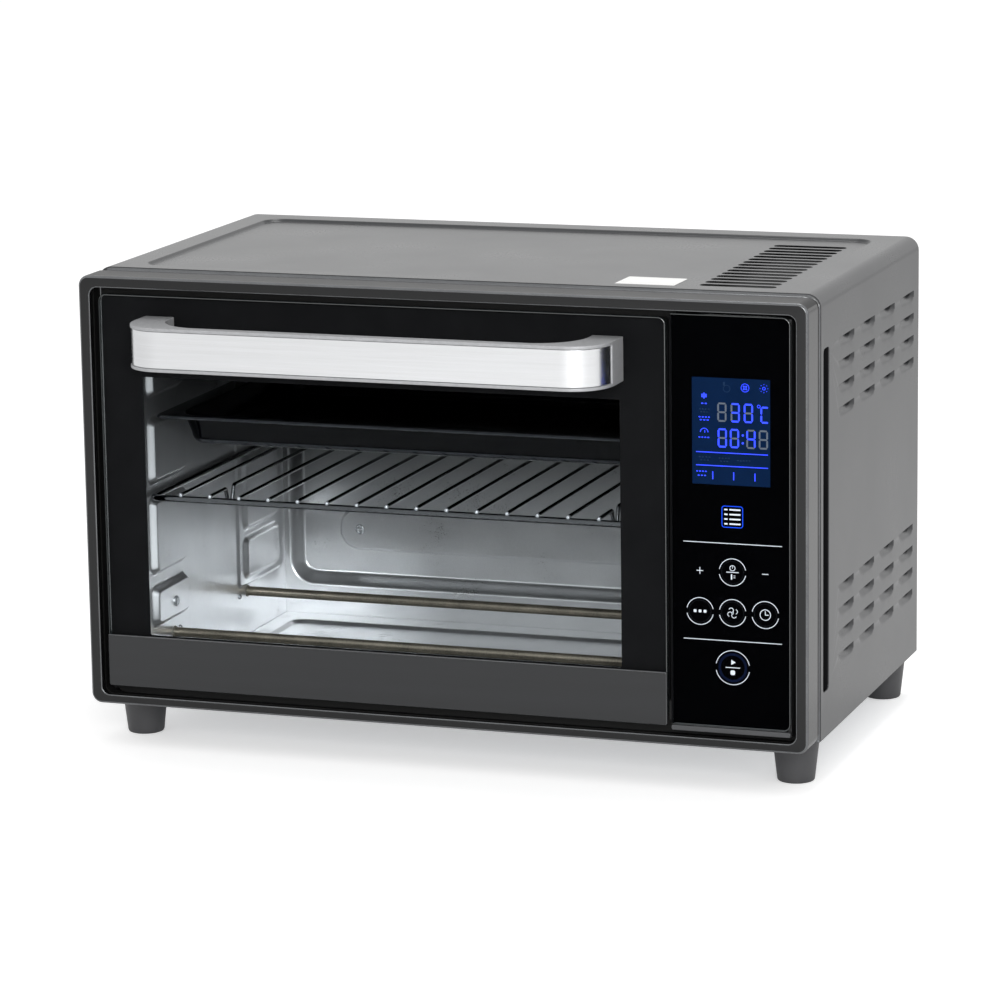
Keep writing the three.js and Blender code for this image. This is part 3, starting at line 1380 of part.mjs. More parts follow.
// ---- wire rack ----
function rack() {
  const reach = RACK_RAIL_RADIUS + RACK_SIDE_CLEARANCE;
  const [x0, x1] = [cavityLeft + reach, cavityRight - reach];
  const [y0, y1] = [cavityFront + RACK_FRONT_INSET, cavityBack - RACK_REAR_INSET];
  const z = rackRailZ;
  const middle = (x0 + x1) / 2;
  const loop = [
    [middle, y0, z],
    [x0, y0, z],
    [x0, y1, z],
    [x1, y1, z],
    [x1, y0, z],
    [middle - RACK_WELD, y0, z],
  ];
  const parts = [wire(loop, RACK_RAIL_RADIUS, RACK_CORNER_RADIUS)];
  const pitch = (x1 - x0) / (RACK_WIRES + 1);
  const top = z + RACK_RAIL_RADIUS + RACK_WIRE_RADIUS - RACK_WELD;
  const [w0, w1] = [y0 - RACK_WELD / 2, y1 + RACK_WELD / 2];
  const dipEnd = y0 + DIP_START + DIP_LENGTH + 2 * DIP_SLOPE;
  for (let i = 1; i <= RACK_WIRES; i++) {
    const x = x0 + i * pitch;
    const dip = [
      [x, y0 + DIP_START, top],
      [x, y0 + DIP_START + DIP_SLOPE, top - DIP_DEPTH],
      [x, dipEnd - DIP_SLOPE, top - DIP_DEPTH],
      [x, dipEnd, top],
    ];
    const dipped = i === RACK_DIPPED || i === RACK_WIRES + 1 - RACK_DIPPED;
    parts.push(wire([[x, w0, top], ...(dipped ? dip : []), [x, w1, top]], RACK_WIRE_RADIUS, DIP_BEND, 6, 2));
  }
  const low = z - RACK_BRACE_DROP;
  const ends = [x0 + pitch, x1 - pitch];
  const bracePath = [
    [ends[0], y0, z],
    [ends[0], y0, low],
    [ends[1], y0, low],
    [ends[1], y0, z],
  ];
  parts.push(wire(bracePath, RACK_WIRE_RADIUS, DIP_BEND, 8, 2));
  return union(parts);
}
put("wire_rack", rack(), chrome);

// ---- baking tray: a drawn pan that hangs by its side flanges ----
function tray() {
  const [x0, x1] = [cavityLeft + TRAY_SIDE_CLEARANCE, cavityRight - TRAY_SIDE_CLEARANCE];
  const [y0, y1] = [cavityFront + TRAY_FRONT_INSET, cavityBack - TRAY_REAR_INSET];
  const rimHigh = trayRimLow + TRAY_WALL;
  const [u0, u1] = [x0 + TRAY_FLANGE_SIDE, x1 - TRAY_FLANGE_SIDE];
  const [v0, v1] = [y0 + TRAY_FLANGE_END, y1 - TRAY_FLANGE_END];
  const low = rimHigh - TRAY_DEPTH;
  const rim = plate("z", x0, x1, y0, y1, TRAY_CORNER_RADIUS, trayRimLow, rimHigh, 5);
  const w = TRAY_WALL;
  const outside = pressing(
    "z", u0 - w, u1 + w, v0 - w, v1 + w, TRAY_CORNER_RADIUS, trayRimLow + 0.3, low, TRAY_DRAFT,
  );
  const inside = pressing("z", u0, u1, v0, v1, TRAY_CORNER_RADIUS, rimHigh + 0.3, low + w, TRAY_DRAFT);
  return rim.add(outside).subtract(inside);
}
put("baking_tray", tray(), enamel);

// ---- blank label on the top ----
const labelLow = housingTop - PRESS_DEPTH + FIT_GAP;
const labelX = pressHalf - LABEL_RIGHT_INSET;
const labelY = pressFront + LABEL_FRONT_INSET;
put(
  "top_label",
  box(
    labelX - LABEL_WIDTH / 2,
    labelX + LABEL_WIDTH / 2,
    labelY - LABEL_DEPTH / 2,
    labelY + LABEL_DEPTH / 2,
    labelLow,
    labelLow + LABEL_THICKNESS,
  ),
  labelWhite,
);

// The origin is under the middle of the whole object, on the table.
oven.position.y = -(handleFront + BODY_DEPTH + GLAND_PROUD) / 2;
export default oven;
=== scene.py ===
"""Toaster oven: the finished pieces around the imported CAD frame, laid out as a Blender add-on.

Metres, in the frame of the CAD. x runs to the right, the front faces -y, z is up from the table.
Each operator builds one piece or group of like pieces; main() calls them in order.
"""

import json
import math
from collections import namedtuple

import bmesh
import bpy
from mathutils import Matrix, Vector


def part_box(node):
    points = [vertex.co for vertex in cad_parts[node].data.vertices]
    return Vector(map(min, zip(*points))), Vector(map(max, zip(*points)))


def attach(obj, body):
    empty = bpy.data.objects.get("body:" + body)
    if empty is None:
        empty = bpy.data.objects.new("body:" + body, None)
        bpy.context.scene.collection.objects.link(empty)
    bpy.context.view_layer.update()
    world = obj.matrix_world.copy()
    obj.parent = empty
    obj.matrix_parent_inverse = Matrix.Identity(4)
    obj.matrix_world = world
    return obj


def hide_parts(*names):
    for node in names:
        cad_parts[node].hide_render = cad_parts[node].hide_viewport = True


bl_info = {
    "name": "Toaster oven",
    "version": (1, 0, 0),
    "blender": (4, 5, 0),
    "location": "View3D > Sidebar > Oven",
    "description": "Finished pieces of a counter-top toaster oven around its CAD frame",
    "category": "Object",
}

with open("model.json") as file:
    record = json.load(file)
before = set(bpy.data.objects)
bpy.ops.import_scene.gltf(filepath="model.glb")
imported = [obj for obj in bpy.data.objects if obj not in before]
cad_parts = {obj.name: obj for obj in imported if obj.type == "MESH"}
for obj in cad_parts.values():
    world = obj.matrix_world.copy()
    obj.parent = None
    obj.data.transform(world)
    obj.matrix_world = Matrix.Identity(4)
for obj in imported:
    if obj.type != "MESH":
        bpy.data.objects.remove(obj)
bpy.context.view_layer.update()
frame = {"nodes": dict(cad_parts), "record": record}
MM = 0.001
BODY_OF = {n: b for b, nodes in frame["record"]["behaviour"]["bodies"].items() for n in nodes}
Box = namedtuple("Box", "x0 x1 y0 y1 z0 z1")


def box_of(node):
    """Where a CAD node stands, as one value per side."""
    low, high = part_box(node)
    return Box(low.x, high.x, low.y, high.y, low.z, high.z)


def ranges(box, plane, inset=0.0, second=None):
    """Two of a box's ranges, such as "xz", each drawn in by an inset, or the second by its own."""
    pairs = {"x": (box.x0, box.x1), "y": (box.y0, box.y1), "z": (box.z0, box.z1)}
    insets = (inset, inset if second is None else second)
    return [(pairs[axis][0] + d, pairs[axis][1] - d) for axis, d in zip(plane, insets)]


FRAME = box_of("front_frame")
SHELL = box_of("housing_shell")
GLASS = box_of("door_glass")._replace(x0=-230.6 * MM, z1=298.5 * MM)
PANEL = box_of("panel_glass")._replace(z1=301.6 * MM)
FRONT = FRAME.y0  # the front plane that depths are counted from


# ---------------------------------------------------------------- sizes and colours
def length(name, millimetres, description):
    """A size property, shown in the scene's unit."""
    return bpy.props.FloatProperty(
        name=name, description=description, default=millimetres * MM, unit="LENGTH", subtype="DISTANCE"
    )


def colour(name, code, description):
    """A colour property, from an sRGB hex code."""
    return bpy.props.FloatVectorProperty(
        name=name, description=description, default=linear(code), size=4, subtype="COLOR", min=0, max=1
    )


def linear(code, alpha=1.0):
    """An sRGB hex colour as the linear values that a shader takes."""
    parts = [int(code[i : i + 2], 16) / 255 for i in (1, 3, 5)]
    return (*[p / 12.92 if p <= 0.04045 else ((p + 0.055) / 1.055) ** 2.4 for p in parts], alpha)


class OVEN_PG_sizes(bpy.types.PropertyGroup):
    """Sizes that a user may change."""

    frame_corner: length("Frame corner", 7, "Radius of the front frame's outer corners")
    frame_round: length("Frame edge", 2.0, "Rounding of the front frame's outer edge")
    lip_corner: length("Opening corner", 5.5, "Radius of the frame opening's corners")
    lip_depth: length("Lip depth", 3.4, "How far the frame's front lip reaches back")
    shell_bend: length("Housing bend", 9, "Radius of the bends along the housing's top edges")
    top_step: length("Top pressing", 1.8, "How far the panel pressed in the top lies below its border")
    louvre_depth: length("Louvre depth", 5.8, "How far the side louvres are pressed in")
    groove_depth: length("Side groove depth", 7.5, "How deep the upright side grooves are")
    door_corner: length("Door corner", 5, "Radius of the door glass's corners")
    glass_edge: length("Glass edge", 0.8, "Ground rounding of the edges of the glass plates")


class OVEN_PG_colours(bpy.types.PropertyGroup):
    """Colours that a user may change."""

    housing: colour("Housing", "#2F3032", "Powder coat on the housing")
    frame: colour("Front frame", "#0E0F10", "Coat on the front frame")
    rail: colour("Door rail", "#2B2C2E", "Satin dark steel under the door glass")
    backlight: colour("Backlight", "#091A33", "Display behind its unlit segments")
    segments: colour("Segments", "#3448FF", "Lit segments of the display")
    enamel: colour("Enamel", "#020203", "Baking tray")


def sizes():
    """The sizes that the scene holds."""
    return bpy.context.scene.oven_sizes


def colours():
    """The colours that the scene holds."""
    return bpy.context.scene.oven_colours


# ---------------------------------------------------------------- modelling helpers
FACINGS = {
    "-y": (math.pi / 2, 0, 0),
    "+y": (math.pi / 2, 0, math.pi),
    "+x": (math.pi / 2, 0, math.pi / 2),
    "-x": (math.pi / 2, 0, -math.pi / 2),
    "+z": (0, 0, 0),
    "-z": (math.pi, 0, 0),
}
NEAR = 0.02 * MM  # closer than this counts as the same place


def deselect():
    if bpy.context.object is not None and bpy.context.object.mode != "OBJECT":
        bpy.ops.object.mode_set(mode="OBJECT")
    bpy.ops.object.select_all(action="DESELECT")


def activate(piece):
    deselect()
    piece.select_set(True)
    bpy.context.view_layer.objects.active = piece


def new_piece(name):
    """An empty mesh object at the origin, opened in edit mode."""
    deselect()
    bpy.ops.object.add(type="MESH")
    piece = bpy.context.object
    piece.name = piece.data.name = name
    bpy.ops.object.mode_set(mode="EDIT")
    return piece


def edit(piece):
    activate(piece)
    bpy.ops.object.mode_set(mode="EDIT")
    bpy.ops.mesh.select_all(action="DESELECT")


def place_of(item):
    if isinstance(item, bmesh.types.BMVert):
        return item.co.copy(), item.normal
    if isinstance(item, bmesh.types.BMEdge):
        a, b = (v.co for v in item.verts)
        return (a + b) / 2, (b - a).normalized()
    return item.calc_center_median(), item.normal


def pick(kind, test, among_selected=False):
    """Selects the corners, edges or faces whose place and direction pass the test."""
    bpy.ops.mesh.select_mode(type=kind)
    mesh = bmesh.from_edit_mesh(bpy.context.object.data)
    items = {"VERT": mesh.verts, "EDGE": mesh.edges, "FACE": mesh.faces}[kind]
    items = [i for i in items if i.select] if among_selected else list(items)
    chosen = [i for i in items if test(*place_of(i))]
    bpy.ops.mesh.select_all(action="DESELECT")
    for item in chosen:
        item.select_set(True)
    mesh.select_flush_mode()
    bmesh.update_edit_mesh(bpy.context.object.data)
    return len(chosen)


def pick_rims(test):
    """Selects the open edges whose two ends both pass the test."""
    bpy.ops.mesh.select_mode(type="EDGE")
    mesh = bmesh.from_edit_mesh(bpy.context.object.data)
    bpy.ops.mesh.select_all(action="DESELECT")
    for edge in mesh.edges:
        if len(edge.link_faces) < 2 and all(test(v.co) for v in edge.verts):
            edge.select_set(True)
    mesh.select_flush_mode()
    bmesh.update_edit_mesh(bpy.context.object.data)


def flat(facing, at, across, up, corner=0.0, steps=6):
    """Adds a flat face with rounded corners, at a height on the axis it faces; it is left selected.

    across and up are its two ranges: x and z for a face towards y, y and z towards x, x and y towards z.
    """
    (a0, a1), (b0, b1) = across, up
    a, b = (a0 + a1) / 2, (b0 + b1) / 2
    middle = {"x": (at, a, b), "y": (a, at, b), "z": (a, b, at)}[facing[1]]
    bpy.ops.mesh.primitive_plane_add(size=1, location=middle, rotation=FACINGS[facing])
    stretch_flat(facing, middle, a1 - a0, b1 - b0)
    if corner > 0:
        round_corners(corner, steps)
        bpy.ops.mesh.select_mode(type="FACE")


def round_corners(radius, steps, **more):
    """Rounds the selected corners of a flat face."""
    bpy.ops.mesh.bevel(offset=radius, segments=steps, affect="VERTICES", **more)


def stretch_flat(facing, middle, a, b):
    """Brings a face of one metre, just added, to its two sizes."""
    value = {"x": (1, a, b), "y": (a, 1, b), "z": (a, b, 1)}[facing[1]]
    bpy.ops.transform.resize(value=value, center_override=middle)


def sink(profile):
    """Insets the selected face step by step; each step is (inwards, outwards from the face)."""
    for inwards, rise in profile:
        bpy.ops.mesh.inset(thickness=inwards, depth=rise, use_even_offset=True)


def soft_step(run, rise, steps=6):
    """An S-shaped slope for sink(), over a run and up a rise."""
    heights = [rise * (1 - math.cos(math.pi * k / steps)) / 2 for k in range(steps + 1)]
    return [(run / steps, b - a) for a, b in zip(heights, heights[1:])]


def round_over(radius, steps=4):
    """A quarter-round rising from a side wall onto a face, for sink()."""
    angles = [math.pi / 2 * k / steps for k in range(steps + 1)]
    points = [(radius * (1 - math.cos(a)), radius * math.sin(a)) for a in angles]
    return [(b[0] - a[0], b[1] - a[1]) for a, b in zip(points, points[1:])]


def open_face():
    """Removes the selected face and keeps its outline."""
    bpy.ops.mesh.delete(type="ONLY_FACE")


def close_rims(test=lambda p: True):
    """Puts one face in each open outline that passes the test, and turns the mesh outwards."""
    pick_rims(test)
    bpy.ops.mesh.edge_face_add()
    outwards()


def fill_flat(axis, at):
    """Closes the sheet between all open edges that lie at a height on an axis."""
    pick_rims(lambda p: abs(getattr(p, axis) - at) < NEAR)
    bpy.ops.mesh.fill(use_beauty=True)


def block(low, high, sides_axis=None, corner=0.0, steps=6):
    """Adds a block between two corners, with the edges along one axis rounded; it is left selected."""
    low, high = Vector(low), Vector(high)
    bpy.ops.mesh.primitive_cube_add(size=1, location=(low + high) / 2, scale=high - low)
    if corner > 0:
        axis = "xyz".index(sides_axis)
        inside = lambda p, d: abs(d[axis]) > 0.99
        pick("EDGE", inside, among_selected=True)
        bpy.ops.mesh.bevel(offset=corner, segments=steps, affect="EDGES")


def rod(axis, radius, middle, long, sides=24):
    """Adds a round bar about a point, along an axis; it is left selected."""
    turn = {"x": (0, math.pi / 2, 0), "y": (math.pi / 2, 0, 0), "z": (0, 0, 0)}[axis]
    bpy.ops.mesh.primitive_cylinder_add(
        vertices=sides, radius=radius, depth=long, location=middle, rotation=turn
    )


def disc(middle, radius, sides, turned=FACINGS["+z"]):
    """Adds a flat disc about a point; it is left selected."""
    bpy.ops.mesh.primitive_circle_add(
        vertices=sides, radius=radius, fill_type="NGON", location=middle, rotation=turned
    )


def middle_of(box):
    """The middle of a box."""
    return Vector(((box.x0 + box.x1) / 2, (box.y0 + box.y1) / 2, (box.z0 + box.z1) / 2))


def pull(move):
    """Extrudes what is selected by a move."""
    bpy.ops.mesh.extrude_region_move(TRANSFORM_OT_translate={"value": move})


def thicken(piece, thickness):
    """Gives a sheet its thickness, behind the side it was drawn on."""
    modify(piece, "SOLIDIFY", thickness=thickness, offset=-1)


def modify(piece, kind, **settings):
    """Adds a modifier and applies it."""
    activate(piece)
    modifier = piece.modifiers.new(kind.title(), kind)
    for name, value in settings.items():
        setattr(modifier, name, value)
    bpy.ops.object.modifier_apply(modifier=modifier.name)


def merge(distance=NEAR):
    """Joins the corners that lie closer than a distance."""
    bpy.ops.mesh.select_all(action="SELECT")
    bpy.ops.mesh.remove_doubles(threshold=distance)


def outwards():
    """Turns every face of the mesh outwards."""
    bpy.ops.mesh.select_all(action="SELECT")
    bpy.ops.mesh.normals_make_consistent(inside=False)


def carve(piece, *tools):
    """Cuts tools out of a piece and removes them."""
    for tool in tools:
        modify(piece, "BOOLEAN", operation="DIFFERENCE", solver="EXACT", object=tool)
        bpy.data.objects.remove(tool)


def soften(piece, width, steps=2, angle=40):
    modify(
        piece, "BEVEL", width=width, segments=steps, limit_method="ANGLE",
        angle_limit=math.radians(angle), harden_normals=False,
    )


def finish_piece(piece, name, nodes=(), body=None, smooth=35):
    """Shades a piece, gives it its finish and rides it on its body in place of its CAD nodes."""
    activate(piece)
    bpy.ops.object.shade_smooth_by_angle(angle=math.radians(smooth))
    modify(piece, "WEIGHTED_NORMAL", weight=90, keep_sharp=True)
    piece.data.materials.clear()
    piece.data.materials.append(finish(name))
    nodes = [nodes] if isinstance(nodes, str) else list(nodes)
    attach(piece, body or BODY_OF[nodes[0]])
    if nodes:
        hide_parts(*nodes)
    return piece


def second_finish(piece, name, test):
    """Gives the faces whose place and direction pass the test a finish of their own."""
    piece.data.materials.append(finish(name))
    for face in piece.data.polygons:
        if test(face.center, face.normal):
            face.material_index = len(piece.data.materials) - 1


def dress(name, *nodes):
    """Gives CAD nodes that keep their shape a finish."""
    for node in nodes:
        mesh = frame["nodes"][node].data
        mesh.materials.clear()
        mesh.materials.append(finish(name))


# ---------------------------------------------------------------- finishes
COLOUR_A, COLOUR_B, COLOUR_OUT = 6, 7, 2  # a Mix node's colour sockets
PANE_ROUGH = (0.01, 0.03)


def add_node(tree, kind, inputs=None, **settings):
    """Adds a node; each input is given a value, or the output that feeds it."""
    node = tree.nodes.new("ShaderNode" + kind)
    for name, value in settings.items():
        setattr(node, name, value)
    for name, value in (inputs or {}).items():
        if isinstance(value, bpy.types.NodeSocket):
            tree.links.new(value, node.inputs[name])
        else:
            node.inputs[name].default_value = value
    return node


def start_finish(name):
    """An empty node material, and its tree."""
    material = bpy.data.materials.new(name)
    material.use_nodes = True
    material.node_tree.nodes.clear()
    return material, material.node_tree


def spread(tree, source, low, high):
    """Turns a noise value into a range of its own."""
    ranged = {"Value": source, "From Min": 0.3, "From Max": 0.7, "To Min": low, "To Max": high}
    return add_node(tree, "MapRange", ranged).outputs[0]


def make_finish(
    name, dark, light, rough, grain, relief, patches, stretch=(1, 1, 1), browned=None, **sockets
):
    """A surface whose colour wanders between two tones, with a fine relief of its own.

    grain and patches are the sizes of the relief's and the tones' spots, and relief its height, in mm;
    stretch lengthens both along an axis. rough is a range, and the sockets go to the shader. The last
    named setting is painted shade: it darkens the surface from one height to another, in metres, down to
    a share of its tone, so that the upper part reads shaded.
    """
    material, tree = start_finish(name)
    where = add_node(tree, "TexCoord").outputs["Object"]
    lengthened = {"Vector": where, "Scale": [1 / s for s in stretch]}
    laid = add_node(tree, "Mapping", lengthened).outputs[0]
    clouds = {"Vector": laid, "Scale": 1 / (patches * MM), "Detail": 4.0}
    cloud = add_node(tree, "TexNoise", clouds).outputs["Fac"]
    grains = {"Vector": laid, "Scale": 1 / (grain * MM), "Detail": 3.0, "Roughness": 0.6}
    fine = add_node(tree, "TexNoise", grains).outputs["Fac"]
    both = add_node(tree, "Math", {0: cloud, 1: fine}, operation="ADD").outputs[0]
    half = add_node(tree, "Math", {0: both, 1: 0.5}, operation="MULTIPLY").outputs[0]
    tones = {0: spread(tree, half, 0, 1), COLOUR_A: linear(dark), COLOUR_B: linear(light)}
    tone = add_node(tree, "Mix", tones, data_type="RGBA").outputs[COLOUR_OUT]
    # Painted shade: the tone darkens between two heights, so that the upper part reads shaded.
    if browned:
        low, high, share = browned
        height = add_node(tree, "SeparateXYZ", {"Vector": where}).outputs["Z"]
        ranged = {"Value": height, "From Min": low, "From Max": high, "To Min": 1.0, "To Max": share}
        kept = add_node(tree, "MapRange", ranged, interpolation_type="SMOOTHSTEP").outputs[0]
        shares = {0: 1.0, COLOUR_A: tone, COLOUR_B: kept}
        shaded_tone = add_node(tree, "Mix", shares, data_type="RGBA", blend_type="MULTIPLY")
        tone = shaded_tone.outputs[COLOUR_OUT]
    bump = add_node(tree, "Bump", {"Height": fine, "Distance": relief * MM, "Strength": 1.0})
    shader = {"Base Color": tone, "Roughness": spread(tree, half, *rough), "Normal": bump.outputs[0]}
    surface = add_node(tree, "BsdfPrincipled", {**shader, **sockets})
    add_node(tree, "OutputMaterial", {"Surface": surface.outputs[0]})
    return material


def make_pane(name, tint, ior, coated):
    """Clear sheet glass: lets light straight through, tinted, and mirrors more towards grazing.

    A coat against glare takes away all mirroring below the share that coated gives.
    """
    material, tree = start_finish(name)
    where = add_node(tree, "TexCoord").outputs["Object"]
    smear = {"Vector": where, "Scale": 1 / (30 * MM), "Detail": 5.0}
    smears = add_node(tree, "TexNoise", smear).outputs["Fac"]
    wave = add_node(tree, "Bump", {"Height": smears, "Distance": 0.02 * MM, "Strength": 0.3})
    mirror = {"Color": (1, 1, 1, 1), "Roughness": spread(tree, smears, *PANE_ROUGH)}
    mirror["Normal"] = wave.outputs[0]
    glossy = add_node(tree, "BsdfGlossy", mirror).outputs[0]
    clear = add_node(tree, "BsdfTransparent", {"Color": linear(tint)}).outputs[0]
    bent = add_node(tree, "Fresnel", {"IOR": ior}).outputs[0]
    back = add_node(tree, "NewGeometry").outputs["Backfacing"]
    outer = add_node(tree, "Math", {0: 1.0, 1: back}, operation="SUBTRACT").outputs[0]
    left = {"Value": bent, "From Min": coated, "From Max": 1.0, "To Min": 0.0, "To Max": 1.0}
    kept = add_node(tree, "MapRange", left).outputs[0]
    share = add_node(tree, "Math", {0: kept, 1: outer}, operation="MULTIPLY").outputs[0]
    mixed = add_node(tree, "MixShader", {0: share, 1: clear, 2: glossy}).outputs[0]
    add_node(tree, "OutputMaterial", {"Surface": mixed})
    return material


def shade_of(colour_value, factor):
    """A little darker or lighter than a colour, as a hex code for make_finish()."""
    parts = [min(1.0, max(0.0, c * factor)) for c in colour_value[:3]]
    parts = [12.92 * p if p <= 0.0031308 else 1.055 * p ** (1 / 2.4) - 0.055 for p in parts]
    return "#" + "".join(f"{round(255 * p):02X}" for p in parts)


GLOSS, METAL = "Specular IOR Level", "Metallic"
UNDER_GLASS = {GLOSS: 0.0}  # ink that the glass wets has no gloss of its own

